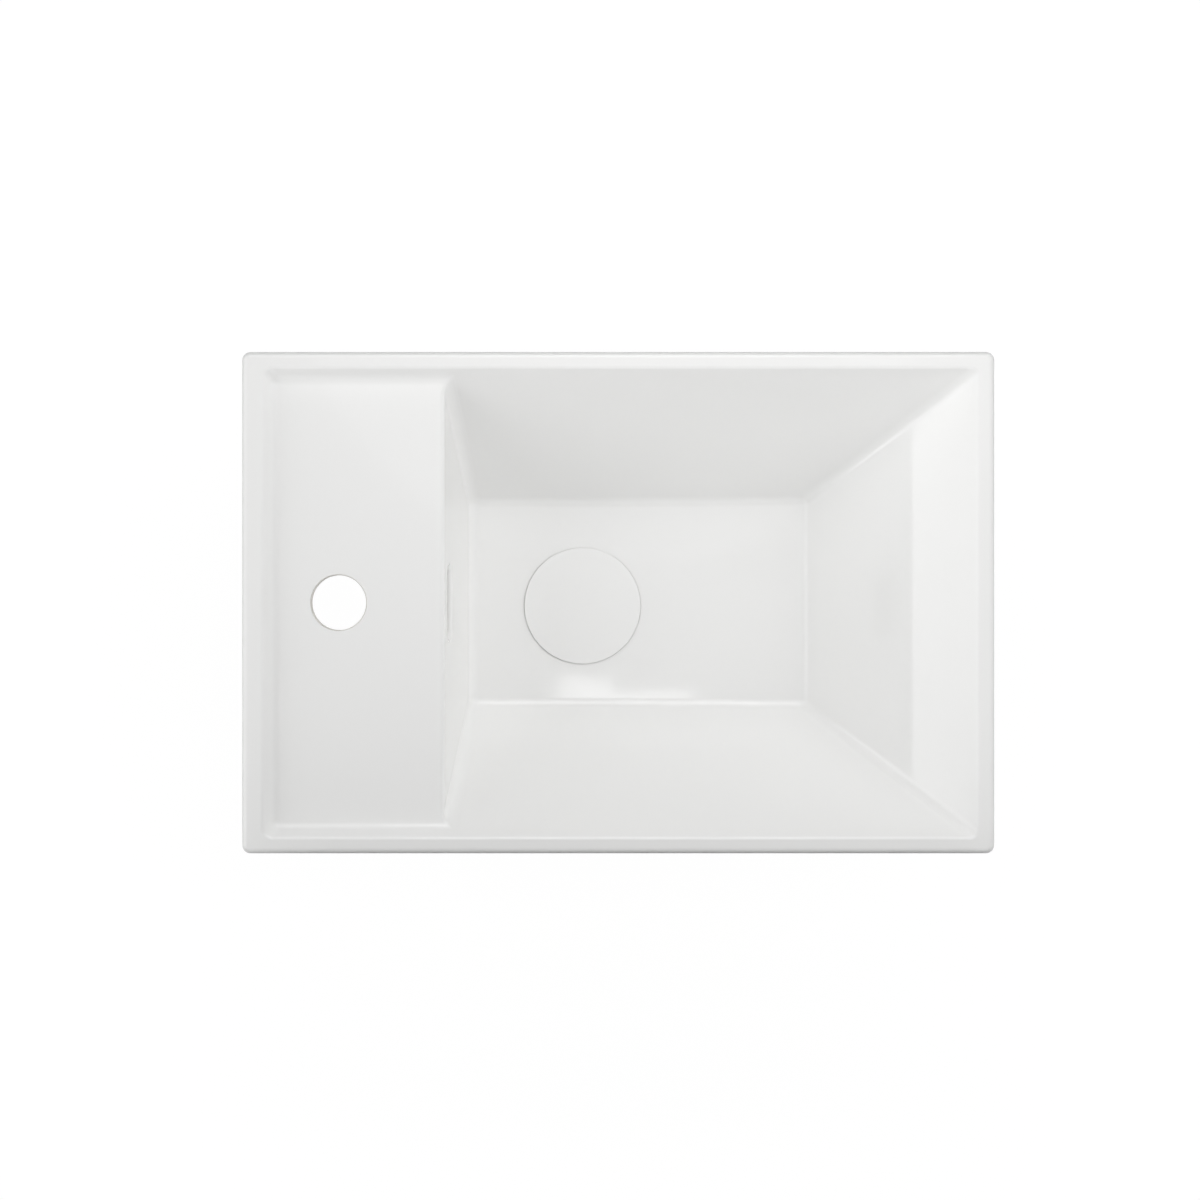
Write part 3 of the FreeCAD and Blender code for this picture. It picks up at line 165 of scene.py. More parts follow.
def glazed_china(name, bare_under, roughness_of_glaze):
    """Vitreous china under a clear gloss glaze, fired twice: white, with a slow drift of tone and a
    faint ripple in the glaze. Below a height, whatever doesn't face up is unglazed clay, chalky with a
    little overspray. The wall and the steep edge of the tap hole take the same darker clay tone as
    painted shade, and the clay's roughness."""
    material, tree, place = new_material(name)
    drift = add(tree, "ShaderNodeTexNoise", {"Vector": place, "Scale": repeats(90), "Detail": 1.0})
    glaze = add(
        tree,
        "ShaderNodeMix",
        {0: drift.outputs["Fac"], MIX_A: linear("#f5f5f4"), MIX_B: linear("#f7f7f6")},
        data_type="RGBA",
    )
    facing = add(tree, "ShaderNodeSeparateXYZ", {0: add(tree, "ShaderNodeNewGeometry").outputs["Normal"]})
    height = add(tree, "ShaderNodeSeparateXYZ", {0: place})
    grain = add(tree, "ShaderNodeTexNoise", {"Vector": place, "Scale": repeats(1.2), "Detail": 4.0})
    spray = add(tree, "ShaderNodeTexNoise", {"Vector": place, "Scale": repeats(14), "Detail": 3.0})
    down = add(
        tree,
        "ShaderNodeMapRange",
        {"Value": facing.outputs["Z"], "From Min": SIDE_GLAZED, "From Max": SIDE_BARE},
    )
    below = add(
        tree,
        "ShaderNodeMapRange",
        {"Value": height.outputs["Z"], "From Min": bare_under, "From Max": bare_under - GLAZE_LINE},
    )
    under = add(
        tree, "ShaderNodeMath", {0: down.outputs["Result"], 1: below.outputs["Result"]}, operation="MULTIPLY"
    )
    # painted shade: the tap hole's wall and steep edge take the clay's darker tone
    from_tap = add(tree, "ShaderNodeSeparateXYZ", {0: around(tree, place, TAP_AXIS)})
    in_hole = add(
        tree, "ShaderNodeMath", {0: from_tap.outputs["X"], 1: TAP_REACH}, operation="LESS_THAN"
    )
    steep = add(
        tree,
        "ShaderNodeMapRange",
        {"Value": facing.outputs["Z"], "From Min": HOLE_SHADE_START, "From Max": HOLE_SHADE_FULL},
    )
    painted_hole_shade = add(
        tree, "ShaderNodeMath", {0: in_hole.outputs[0], 1: steep.outputs["Result"]}, operation="MULTIPLY"
    )
    # the unglazed foot below the rim is real; the tap hole's share is painted shade
    unglazed_or_hole_shade = add(
        tree, "ShaderNodeMath", {0: under.outputs[0], 1: painted_hole_shade.outputs[0]}, operation="MAXIMUM"
    )
    clay = add(
        tree,
        "ShaderNodeMix",
        {0: spray.outputs["Fac"], MIX_A: linear("#d0cdc7"), MIX_B: linear("#e2e0dc")},
        data_type="RGBA",
    )
    colour = add(
        tree,
        "ShaderNodeMix",
        {0: unglazed_or_hole_shade.outputs[0], MIX_A: glaze.outputs[MIX_RESULT], MIX_B: clay.outputs[MIX_RESULT]},
        data_type="RGBA",
    )
    roughness = add(
        tree, "ShaderNodeMapRange", {"Value": unglazed_or_hole_shade.outputs[0], "To Min": roughness_of_glaze, "To Max": 0.8}
    )
    ripple = add(tree, "ShaderNodeTexNoise", {"Vector": place, "Scale": repeats(22), "Detail": 0.0})
    rippled = add(tree, "ShaderNodeBump", {"Height": ripple.outputs["Fac"], "Distance": 0.01 * MM})
    grit = add(
        tree,
        "ShaderNodeMath",
        {0: grain.outputs["Fac"], 1: unglazed_or_hole_shade.outputs[0]},
        operation="MULTIPLY",
    )
    gritty = add(
        tree,
        "ShaderNodeBump",
        {"Height": grit.outputs[0], "Distance": 0.15 * MM, "Normal": rippled.outputs["Normal"]},
    )
    return surfaced(
        material,
        Base_Color=colour.outputs[MIX_RESULT],
        Roughness=roughness.outputs["Result"],
        Normal=gritty.outputs["Normal"],
        IOR=1.5,
    )


def chromed_brass():
    """Turned brass, polished and plated with nickel and bright chrome: a cool mirror, with the
    polishing wheel's faint rings and a thin film of handling that dulls it in patches."""
    material, tree, place = new_material("chromed_brass")
    film = add(tree, "ShaderNodeTexNoise", {"Vector": place, "Scale": repeats(16), "Detail": 4.0})
    colour = add(
        tree,
        "ShaderNodeMix",
        {0: film.outputs["Fac"], MIX_A: linear("#d3d6d9"), MIX_B: linear("#dcdddd")},
        data_type="RGBA",
    )
    roughness = add(
        tree,
        "ShaderNodeMapRange",
        {"Value": film.outputs["Fac"], "From Min": 0.35, "From Max": 0.7, "To Min": 0.06, "To Max": 0.17},
    )
    # the wheel's lines are finer than this, and drawn as coarse as they need to show
    rings = add(
        tree,
        "ShaderNodeTexNoise",
        {"Vector": around(tree, place, DRAIN), "Scale": repeats(0.5), "Detail": 2.0},
    )
    ringed = add(
        tree, "ShaderNodeBump", {"Height": rings.outputs["Fac"], "Distance": 0.004 * MM, "Strength": 0.6}
    )
    return surfaced(
        material,
        Base_Color=colour.outputs[MIX_RESULT],
        Metallic=1.0,
        Roughness=roughness.outputs["Result"],
        Normal=ringed.outputs["Normal"],
    )


def zinc_plated_steel():
    """Pressed and cold headed steel, barrel plated with zinc and passivated: a soft bluish grey
    shine, with straw tinted clouds and the small dents of tumbling."""
    material, tree, place = new_material("zinc_plated_steel")
    clouds = add(tree, "ShaderNodeTexNoise", {"Vector": place, "Scale": repeats(7), "Detail": 3.0})
    tint = add(tree, "ShaderNodeTexNoise", {"Vector": place, "Scale": repeats(11), "Detail": 1.0})
    blue = add(
        tree,
        "ShaderNodeMix",
        {0: clouds.outputs["Fac"], MIX_A: linear("#a9b0b6"), MIX_B: linear("#c6cbce")},
        data_type="RGBA",
    )
    straw = add(
        tree,
        "ShaderNodeMapRange",
        {"Value": tint.outputs["Fac"], "From Min": 0.5, "From Max": 0.75, "To Max": 0.35},
    )
    colour = add(
        tree,
        "ShaderNodeMix",
        {0: straw.outputs["Result"], MIX_A: blue.outputs[MIX_RESULT], MIX_B: linear("#cfc7ac")},
        data_type="RGBA",
    )
    roughness = add(
        tree, "ShaderNodeMapRange", {"Value": clouds.outputs["Fac"], "To Min": 0.44, "To Max": 0.24}
    )
    dents = add(tree, "ShaderNodeTexVoronoi", {"Vector": place, "Scale": repeats(1.4)}, feature="SMOOTH_F1")
    dented = add(tree, "ShaderNodeBump", {"Height": dents.outputs["Distance"], "Distance": 0.02 * MM})
    return surfaced(
        material,
        Base_Color=colour.outputs[MIX_RESULT],
        Metallic=1.0,
        Roughness=roughness.outputs["Result"],
        Normal=dented.outputs["Normal"],
    )


def turned_brass(name, axis, folded):
    """Bare brass as the lathe left it: warm yellow, ringed by the tool, browning where it has been
    touched. The four clamp inserts share one pattern."""
    material, tree, place = new_material(name)
    tarnish = add(tree, "ShaderNodeTexNoise", {"Vector": place, "Scale": repeats(5), "Detail": 4.0})
    colour = add(
        tree,
        "ShaderNodeMix",
        {0: tarnish.outputs["Fac"], MIX_A: linear("#b58f45"), MIX_B: linear("#d9b868")},
        data_type="RGBA",
    )
    roughness = add(
        tree, "ShaderNodeMapRange", {"Value": tarnish.outputs["Fac"], "To Min": 0.42, "To Max": 0.2}
    )
    turned = around(tree, any_clamp(tree, place) if folded else place, axis)
    rings = add(tree, "ShaderNodeTexNoise", {"Vector": turned, "Scale": repeats(0.35), "Detail": 2.0})
    ringed = add(tree, "ShaderNodeBump", {"Height": rings.outputs["Fac"], "Distance": 0.015 * MM})
    return surfaced(
        material,
        Base_Color=colour.outputs[MIX_RESULT],
        Metallic=1.0,
        Roughness=roughness.outputs["Result"],
        Normal=ringed.outputs["Normal"],
    )


def drawn_spring_wire():
    """Stainless wire, drawn through dies and wound cold: grey and smooth, with a trace of the
    drawing soap left as dull specks."""
    material, tree, place = new_material("drawn_spring_wire")
    soap = add(tree, "ShaderNodeTexNoise", {"Vector": place, "Scale": repeats(0.8), "Detail": 3.0})
    colour = add(
        tree,
        "ShaderNodeMix",
        {0: soap.outputs["Fac"], MIX_A: linear("#aaa8a2"), MIX_B: linear("#cdccc8")},
        data_type="RGBA",
    )
    roughness = add(
        tree, "ShaderNodeMapRange", {"Value": soap.outputs["Fac"], "To Min": 0.4, "To Max": 0.2}
    )
    return surfaced(
        material, Base_Color=colour.outputs[MIX_RESULT], Metallic=1.0, Roughness=roughness.outputs["Result"]
    )


def moulded_rubber():
    """EPDM rubber, pressed in a blasted mould: matt black, finely grained, with the grey bloom that
    comes to the surface of new rubber."""
    material, tree, place = new_material("epdm_rubber")
    bloom = add(tree, "ShaderNodeTexNoise", {"Vector": place, "Scale": repeats(9), "Detail": 5.0})
    colour = add(
        tree,
        "ShaderNodeMix",
        {0: bloom.outputs["Fac"], MIX_A: linear("#161617"), MIX_B: linear("#343435")},
        data_type="RGBA",
    )
    roughness = add(
        tree, "ShaderNodeMapRange", {"Value": bloom.outputs["Fac"], "To Min": 0.5, "To Max": 0.85}
    )
    grain = add(tree, "ShaderNodeTexNoise", {"Vector": place, "Scale": repeats(0.35), "Detail": 2.0})
    grained = add(tree, "ShaderNodeBump", {"Height": grain.outputs["Fac"], "Distance": 0.03 * MM})
    return surfaced(
        material,
        Base_Color=colour.outputs[MIX_RESULT],
        Roughness=roughness.outputs["Result"],
        Normal=grained.outputs["Normal"],
        IOR=1.52,
    )


def closed_cell_foam():
    """Polyethylene foam, split into strip: dry and light grey, its skin a mesh of small shut cells,
    each darkened in its pitted middle as painted shade."""
    material, tree, place = new_material("closed_cell_foam")
    cells = add(tree, "ShaderNodeTexVoronoi", {"Vector": place, "Scale": repeats(0.9)}, feature="SMOOTH_F1")
    patches = add(tree, "ShaderNodeTexNoise", {"Vector": place, "Scale": repeats(12), "Detail": 2.0})
    tone = add(
        tree,
        "ShaderNodeMix",
        {0: patches.outputs["Fac"], MIX_A: linear("#6b6d70"), MIX_B: linear("#85878a")},
        data_type="RGBA",
    )
    # painted shade: each cell's pit, where the bump sinks, is darkened
    painted_pit_shade = add(
        tree,
        "ShaderNodeMapRange",
        {"Value": cells.outputs["Distance"], "From Min": 0.25, "From Max": 0.0, "To Max": 0.6},
    )
    colour = add(
        tree,
        "ShaderNodeMix",
        {0: painted_pit_shade.outputs["Result"], MIX_A: tone.outputs[MIX_RESULT], MIX_B: linear("#424446")},
        data_type="RGBA",
    )
    pitted = add(tree, "ShaderNodeBump", {"Height": cells.outputs["Distance"], "Distance": 0.25 * MM})
    return surfaced(
        material, Base_Color=colour.outputs[MIX_RESULT], Roughness=0.92, Normal=pitted.outputs["Normal"]
    )


def moulded_plastic(name, pale, dark, smoothest, roughest):
    """A plastic injected into a spark eroded mould: even in colour, with slow streaks of flow and a
    fine waxy grain."""
    material, tree, place = new_material(name)
    flow = add(
        tree,
        "ShaderNodeTexNoise",
        {"Vector": place, "Scale": repeats(8), "Detail": 2.0, "Distortion": 1.2},
    )
    colour = add(
        tree,
        "ShaderNodeMix",
        {0: flow.outputs["Fac"], MIX_A: linear(dark), MIX_B: linear(pale)},
        data_type="RGBA",
    )
    roughness = add(
        tree, "ShaderNodeMapRange", {"Value": flow.outputs["Fac"], "To Min": smoothest, "To Max": roughest}
    )
    grain = add(tree, "ShaderNodeTexNoise", {"Vector": place, "Scale": repeats(0.3), "Detail": 1.0})
    grained = add(tree, "ShaderNodeBump", {"Height": grain.outputs["Fac"], "Distance": 0.012 * MM})
    return surfaced(
        material,
        Base_Color=colour.outputs[MIX_RESULT],
        Roughness=roughness.outputs["Result"],
        Normal=grained.outputs["Normal"],
        IOR=1.49,
    )


# The glaze ends just above the rim's foot, which stands on the foam strip, and at the cap's underside.
# The cap, handled at each use, is a little duller.
FOOT_BARE = 0.6 * MM
china = glazed_china("glazed_china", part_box("rim_seal")[1].z + FOOT_BARE, roughness_of_glaze=0.04)
cap_china = glazed_china(
    "glazed_cap_china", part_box("waste_cap")[0].z + GLAZE_LINE, roughness_of_glaze=0.2
)
chrome = chromed_brass()
zinc = zinc_plated_steel()
waste_brass = turned_brass("turned_brass", DRAIN, folded=False)
insert_brass = turned_brass("turned_insert_brass", CLAMP, folded=True)
wire = drawn_spring_wire()
rubber = moulded_rubber()
foam = closed_cell_foam()
white_nylon = moulded_plastic(
    "moulded_white_nylon", "#ecebe5", "#e1dfd8", smoothest=0.34, roughest=0.46
)
grey_acetal = moulded_plastic(
    "moulded_grey_acetal", "#9a9ea2", "#868a8f", smoothest=0.3, roughest=0.42
)


def shown_as(material, *names):
    """Gives CAD nodes whose shape is right their finish."""
    for name in names:
        nodes[name].data.materials.clear()
        nodes[name].data.materials.append(material)


def plain_mesh(piece):
    """Turns a piece's modifiers into its mesh."""
    bpy.context.view_layer.update()
    evaluated = piece.evaluated_get(bpy.context.evaluated_depsgraph_get())
    mesh = bpy.data.meshes.new_from_object(evaluated)
    piece.modifiers.clear()
    piece.data = mesh
    return piece


def new_piece(name, mesh):
    """Puts a mesh into the scene."""
    piece = bpy.data.objects.new(name, mesh)
    bpy.context.scene.collection.objects.link(piece)
    return piece


def carried(piece, node, stands_in=True):
    """Lets a piece ride with the body of a CAD node, and stand for that node."""
    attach(piece, carriers[node])
    if stands_in:
        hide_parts(node)
    return piece


# Loose corners closer than this are one, faces within this angle are one flat face, and an edge
# that turns by more than this is sharp.
MERGE = 0.0005 * MM
FLAT = math.radians(0.6)
SHARP = math.radians(32)


def merged_copy(node):
    """A CAD node's shape with its loose corners joined."""
    shape = bmesh.new()
    shape.from_mesh(nodes[node].data)
    bmesh.ops.remove_doubles(shape, verts=shape.verts, dist=MERGE)
    return shape


def smooth_piece(shape, name, material):
    """A new piece of this shape, shaded smooth."""
    mesh = bpy.data.meshes.new(name)
    shape.to_mesh(mesh)
    shape.free()
    for left_over in ("custom_normal", "sharp_edge", "sharp_face"):
        if left_over in mesh.attributes:
            mesh.attributes.remove(mesh.attributes[left_over])
    mesh.shade_smooth()
    mesh.materials.clear()
    mesh.materials.append(material)
    return new_piece(name, mesh)


def eased(name, width, material, reshape=None):
    """A copy of a CAD node with whole faces, its sharp edges rounded by this many millimetres as
    deburring, plating or a mould leaves them, so that they catch the light."""
    shape = merged_copy(name)
    bmesh.ops.dissolve_limit(shape, angle_limit=FLAT, verts=shape.verts, edges=shape.edges)
    if reshape:
        reshape(shape)
    piece = smooth_piece(shape, f"{name}_eased", material)
    rounding = piece.modifiers.new("rounding", "BEVEL")
    rounding.width = width * MM
    rounding.segments = 2
    rounding.limit_method = "ANGLE"
    rounding.angle_limit = SHARP
    piece.modifiers.new("shading", "WEIGHTED_NORMAL").keep_sharp = True
    return carried(plain_mesh(piece), name)


def return_spring():
    """The spring's wire. Its foot stands on the end plug."""
    piece = smooth_piece(merged_copy("return_spring"), "return_spring_wound", wire)
    piece.data.set_sharp_from_angle(angle=SHARP)
    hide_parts("return_spring")
    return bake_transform(piece)


# Threads, as their ridge: the root's and crest's widths are shares of the pitch.
ROOT_SHARE = 0.84
CREST_SHARE = 0.14
# how many turns a thread takes to fade in and out, and its size at its very ends
RUN_OUT = 0.6
END_SHARE = 0.05


def thread_ridge(tree, given):
    """The nodes of a thread's ridge, wound up about the Z axis from a foot."""
    pitch, turns = given["Pitch"], given["Turns"]
    height = add(tree, "ShaderNodeMath", {0: pitch, 1: turns}, operation="MULTIPLY")
    helix = add(
        tree,
        "GeometryNodeCurveSpiral",
        {
            "Resolution": given["Steps a Turn"],
            "Rotations": turns,
            "Start Radius": given["Root Radius"],
            "End Radius": given["Root Radius"],
            "Height": height.outputs[0],
        },
    )
    upright = add(tree, "GeometryNodeSetCurveNormal", {"Curve": helix.outputs[0]}, mode="Z_UP")
    # a helix's profile has -X outwards
    profile = add(
        tree,
        "GeometryNodeCurvePrimitiveQuadrilateral",
        {
            "Point 1": (0, ROOT_SHARE / 2, 0),
            "Point 2": (-1, CREST_SHARE / 2, 0),
            "Point 3": (-1, -CREST_SHARE / 2, 0),
            "Point 4": (0, -ROOT_SHARE / 2, 0),
        },
        mode="POINTS",
    )
    sizes = add(tree, "ShaderNodeCombineXYZ", {0: given["Depth"], 1: pitch, 2: 1.0})
    sized = add(
        tree, "GeometryNodeTransform", {"Geometry": profile.outputs[0], "Scale": sizes.outputs[0]}
    )
    along = add(tree, "GeometryNodeSplineParameter").outputs["Factor"]
    left = add(tree, "ShaderNodeMath", {0: 1.0, 1: along}, operation="SUBTRACT")
    nearest_end = add(tree, "ShaderNodeMath", {0: along, 1: left.outputs[0]}, operation="MINIMUM")
    turns_in = add(tree, "ShaderNodeMath", {0: nearest_end.outputs[0], 1: turns}, operation="MULTIPLY")
    fade = add(
        tree,
        "ShaderNodeMapRange",
        {"Value": turns_in.outputs[0], "From Max": RUN_OUT, "To Min": END_SHARE},
    )
    ridge = add(
        tree,
        "GeometryNodeCurveToMesh",
        {
            "Curve": upright.outputs[0],
            "Profile Curve": sized.outputs[0],
            "Scale": fade.outputs["Result"],
            "Fill Caps": True,
        },
    )
    lift = add(tree, "ShaderNodeCombineXYZ", {2: given["Foot"]})
    return add(
        tree, "GeometryNodeTransform", {"Geometry": ridge.outputs[0], "Translation": lift.outputs[0]}
    ).outputs[0]


def new_tree(name, inputs):
    """An empty Geometry Nodes tree with named inputs, and its input sockets by name."""
    tree = bpy.data.node_groups.new(name, "GeometryNodeTree")
    for label, value in inputs.items():
        kind = "NodeSocketInt" if isinstance(value, int) else "NodeSocketFloat"
        tree.interface.new_socket(label, in_out="INPUT", socket_type=kind)
    tree.interface.new_socket("Geometry", in_out="OUTPUT", socket_type="NodeSocketGeometry")
    return tree, add(tree, "NodeGroupInput").outputs


def grown(tree, geometry, material, inputs):
    """Ends a tree, and makes its geometry with these inputs a plain mesh on a new piece."""
    whole = add(tree, "GeometryNodeRealizeInstances", {"Geometry": geometry})
    coated = add(
        tree, "GeometryNodeSetMaterial", {"Geometry": whole.outputs[0], "Material": material}
    )
    add(tree, "NodeGroupOutput", {"Geometry": coated.outputs[0]})
    piece = new_piece(tree.name, bpy.data.meshes.new(tree.name))
    growth = piece.modifiers.new("growth", "NODES")
    growth.node_group = tree
    for socket in tree.interface.items_tree:
        if socket.in_out == "INPUT":
            growth[socket.identifier] = inputs[socket.name]
    plain_mesh(piece)
    outward = bmesh.new()
    outward.from_mesh(piece.data)
    bmesh.ops.recalc_face_normals(outward, faces=outward.faces)
    outward.to_mesh(piece.data)
    outward.free()
    return piece


# The waste's tail is a G 1 1/4 pipe thread, whose crest is the solid's wall. It begins above a plain
# end and runs up into the nut.
TAIL_PITCH = 2.309 * MM
TAIL_CREST = 20.95 * MM
TAIL_ROOT = 19.47 * MM
TAIL_STEPS = 96
PLAIN_END = 1.6 * MM
RUN_INTO_NUT = 4 * MM
TAIL_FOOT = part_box("waste_body")[0].z + PLAIN_END
TAIL_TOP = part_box("lock_nut")[0].z + RUN_INTO_NUT


def tail_cut_to_root(shape):
    """Takes the tail's wall down to the root of its thread."""
    for vertex in shape.verts:
        off_axis = Vector((vertex.co.x - DRAIN.x, vertex.co.y - DRAIN.y, 0))
        if vertex.co.z < TAIL_TOP and off_axis.length > TAIL_ROOT:
            vertex.co.xy = (DRAIN + off_axis * (TAIL_ROOT / off_axis.length)).xy


def tail_thread():
    """The ridge of the tail's thread."""
    inputs = {
        "Root Radius": TAIL_ROOT,
        "Depth": TAIL_CREST - TAIL_ROOT,
        "Pitch": TAIL_PITCH,
        "Turns": (TAIL_TOP - TAIL_FOOT) / TAIL_PITCH,
        "Foot": TAIL_FOOT,
        "Steps a Turn": TAIL_STEPS,
        "Axis X": DRAIN.x,
        "Axis Y": DRAIN.y,
    }
    tree, given = new_tree("waste_tail_thread", inputs)
    ridge = thread_ridge(tree, given)
    axis = add(tree, "ShaderNodeCombineXYZ", {0: given["Axis X"], 1: given["Axis Y"]})
    on_drain = add(tree, "GeometryNodeTransform", {"Geometry": ridge, "Translation": axis.outputs[0]})
    piece = grown(tree, on_drain.outputs[0], chrome, inputs)
    return carried(piece, "waste_body", stands_in=False)


# The studs are M6, threaded from the anchors down to a blunt point.
STUD_PITCH = 1 * MM
STUD_CREST = 3 * MM
STUD_DEPTH = 0.6 * MM
STUD_ROOT = STUD_CREST - STUD_DEPTH
STUD_STEPS = 24
STUD_SIDES = 32
POINT_TAPER = 0.4 * MM
POINT_LENGTH = 0.5 * MM
STUD_FOOT, STUD_TOP = (corner.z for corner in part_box("clamp_studs"))


def clamp_studs():
    """Four studs, each a core with a tapered point and a thread."""
    core_length = STUD_TOP - STUD_FOOT
    inputs = {
        "Root Radius": STUD_ROOT,
        "Depth": STUD_DEPTH,
        "Pitch": STUD_PITCH,
        "Turns": (core_length - STUD_PITCH) / STUD_PITCH,
        "Foot": STUD_FOOT + STUD_PITCH / 2,
        "Core Foot": STUD_FOOT,
        "Core Length": core_length,
        "Point Radius": STUD_ROOT - POINT_TAPER,
        "Point Length": POINT_LENGTH,
        "Steps a Turn": STUD_STEPS,
        "Row Length": 2 * CLAMP.x,
        "Row Spacing": 2 * CLAMP.y,
    }
    tree, given = new_tree("clamp_studs_threaded", inputs)
    ridge = thread_ridge(tree, given)
    shank_length = add(
        tree, "ShaderNodeMath", {0: given["Core Length"], 1: given["Point Length"]}, operation="SUBTRACT"
    )
    shank_foot = add(
        tree, "ShaderNodeMath", {0: given["Core Foot"], 1: given["Point Length"]}, operation="ADD"
    )
    # a Cone stands on its base, at the origin
    spans = (
        ("Root Radius", "Root Radius", shank_length.outputs[0], shank_foot.outputs[0]),
        ("Point Radius", "Root Radius", given["Point Length"], given["Core Foot"]),
    )
    stud = add(tree, "GeometryNodeJoinGeometry", {"Geometry": ridge})
    for base, top, length, foot in spans:
        span = add(
            tree,
            "GeometryNodeMeshCone",
            {
                "Vertices": STUD_SIDES,
                "Radius Bottom": given[base],
                "Radius Top": given[top],
                "Depth": length,
            },
        )
        lift = add(tree, "ShaderNodeCombineXYZ", {2: foot})
        placed = add(
            tree, "GeometryNodeTransform", {"Geometry": span.outputs["Mesh"], "Translation": lift.outputs[0]}
        )
        tree.links.new(placed.outputs[0], stud.inputs[0])
    corners = add(
        tree,
        "GeometryNodeMeshGrid",
        {
            "Size X": given["Row Length"],
            "Size Y": given["Row Spacing"],
            "Vertices X": 2,
            "Vertices Y": 2,
        },
    )
    studs = add(
        tree,
        "GeometryNodeInstanceOnPoints",
        {"Points": corners.outputs["Mesh"], "Instance": stud.outputs[0]},
    )
    return carried(grown(tree, studs.outputs[0], zinc, inputs), "clamp_studs")


# The foam strip keeps to the space of its solid, which is as wide as this. Its sides wander in by up
# to its waviness, in waves of a length in millimetres.
STRIP_WIDTH = 6 * MM
STRIP_CORNER = 3.2 * MM
STRIP_EDGE = 0.7 * MM
STRIP_STEP = 4 * MM
STRIP_WAVINESS = 0.35 * MM
STRIP_WAVES = 45


def foam_strip():
    """The strip that is stuck under the rim, all the way round."""
    low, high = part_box("rim_seal")
    inputs = {
        "Path Length": high.x - low.x - STRIP_WIDTH,
        "Path Width": high.y - low.y - STRIP_WIDTH,
        "Corner Radius": STRIP_CORNER,
        "Strip Width": STRIP_WIDTH,
        "Strip Height": high.z - low.z,
        "Edge Radius": STRIP_EDGE,
        "Middle": (low.z + high.z) / 2,
        "Step": STRIP_STEP,
        "Waviness": STRIP_WAVINESS,
    }
    tree, given = new_tree("rim_foam_strip", inputs)
    run = add(
        tree,
        "GeometryNodeCurvePrimitiveQuadrilateral",
        {"Width": given["Path Length"], "Height": given["Path Width"]},
        mode="RECTANGLE",
    )
    cornered = add(
        tree,
        "GeometryNodeFilletCurve",
        {"Curve": run.outputs[0], "Count": 6, "Radius": given["Corner Radius"]},
        mode="POLY",
    )
    stepped = add(
        tree,
        "GeometryNodeResampleCurve",
        {"Curve": cornered.outputs[0], "Length": given["Step"]},
        mode="LENGTH",
    )
    upright = add(tree, "GeometryNodeSetCurveNormal", {"Curve": stepped.outputs[0]}, mode="Z_UP")
    section = add(
        tree,
        "GeometryNodeCurvePrimitiveQuadrilateral",
        {"Width": given["Strip Width"], "Height": given["Strip Height"]},
        mode="RECTANGLE",
    )
    soft_section = add(
        tree,
        "GeometryNodeFilletCurve",
        {"Curve": section.outputs[0], "Count": 4, "Radius": given["Edge Radius"]},
        mode="POLY",
    )
    strip = add(
        tree,
        "GeometryNodeCurveToMesh",
        {"Curve": upright.outputs[0], "Profile Curve": soft_section.outputs[0]},
    )
    wander = add(tree, "ShaderNodeTexNoise", {"Scale": repeats(STRIP_WAVES), "Detail": 1.0})
    inward = add(
        tree,
        "ShaderNodeMapRange",
        {"Value": wander.outputs["Fac"], "From Min": 0.3, "From Max": 0.7, "To Min": 1.0, "To Max": 0.0},
    )
    depth = add(
        tree, "ShaderNodeMath", {0: inward.outputs["Result"], 1: given["Waviness"]}, operation="MULTIPLY"
    )
    facing = add(
        tree,
        "ShaderNodeVectorMath",
        {0: add(tree, "GeometryNodeInputNormal").outputs[0], 1: (-1, -1, 0)},
        operation="MULTIPLY",
    )
    drawn_in = add(tree, "ShaderNodeVectorMath", {0: facing.outputs[0]}, operation="SCALE")
    tree.links.new(depth.outputs[0], drawn_in.inputs["Scale"])
    wavy = add(
        tree, "GeometryNodeSetPosition", {"Geometry": strip.outputs[0], "Offset": drawn_in.outputs[0]}
    )
    lift = add(tree, "ShaderNodeCombineXYZ", {2: given["Middle"]})
    placed = add(
        tree, "GeometryNodeTransform", {"Geometry": wavy.outputs[0], "Translation": lift.outputs[0]}
    )
    piece = carried(grown(tree, placed.outputs[0], foam, inputs), "rim_seal")
    piece.data.shade_smooth()
    return piece


shown_as(china, "basin")
shown_as(cap_china, "waste_cap")
shown_as(rubber, "cap_seal")

# The pieces whose edges are eased: by how many millimetres, their finish and their slot.
EASED = {
    "waste_body": (0.25, chrome, "chrome"),
    "lock_nut": (0.4, chrome, "chrome"),
    "flange_gasket": (0.25, rubber, "black_rubber"),
    "taper_gasket": (0.5, rubber, "black_rubber"),
    "slip_washer": (0.3, white_nylon, "white_plastic"),
    "cap_plug": (0.3, white_nylon, "white_plastic"),
    "cap_insert": (0.2, waste_brass, "brass"),
    "plunger": (0.2, waste_brass, "brass"),
    "latch_rotor": (0.12, grey_acetal, "grey_plastic"),
    "cartridge_body": (0.25, grey_acetal, "grey_plastic"),
    "cartridge_plug": (0.25, grey_acetal, "grey_plastic"),
    "clamp_anchors": (0.25, insert_brass, "brass"),
}
for clamp in CLAMPS:
    EASED[f"clamp_arm_{clamp}"] = (0.35, zinc, "zinc_steel")
    EASED[f"clamp_washer_{clamp}"] = (0.2, zinc, "zinc_steel")
    EASED[f"wing_nut_{clamp}"] = (0.3, zinc, "zinc_steel")
for node, (rounding_width, finish, slot) in EASED.items():
    eased(node, rounding_width, finish, tail_cut_to_root if node == "waste_body" else None)
return_spring()
tail_thread()
clamp_studs()
foam_strip()


# The camera looks straight down, as far off as the photograph's perspective says.
RIM_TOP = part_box("basin")[1].z
CAMERA_RISE = 2.45
CAMERA_X = -10.9 * MM
CAMERA_Y = 1.6 * MM
# the photograph's whole width, measured at the height of the rim's top
FIELD_WIDTH = 717.1 * MM

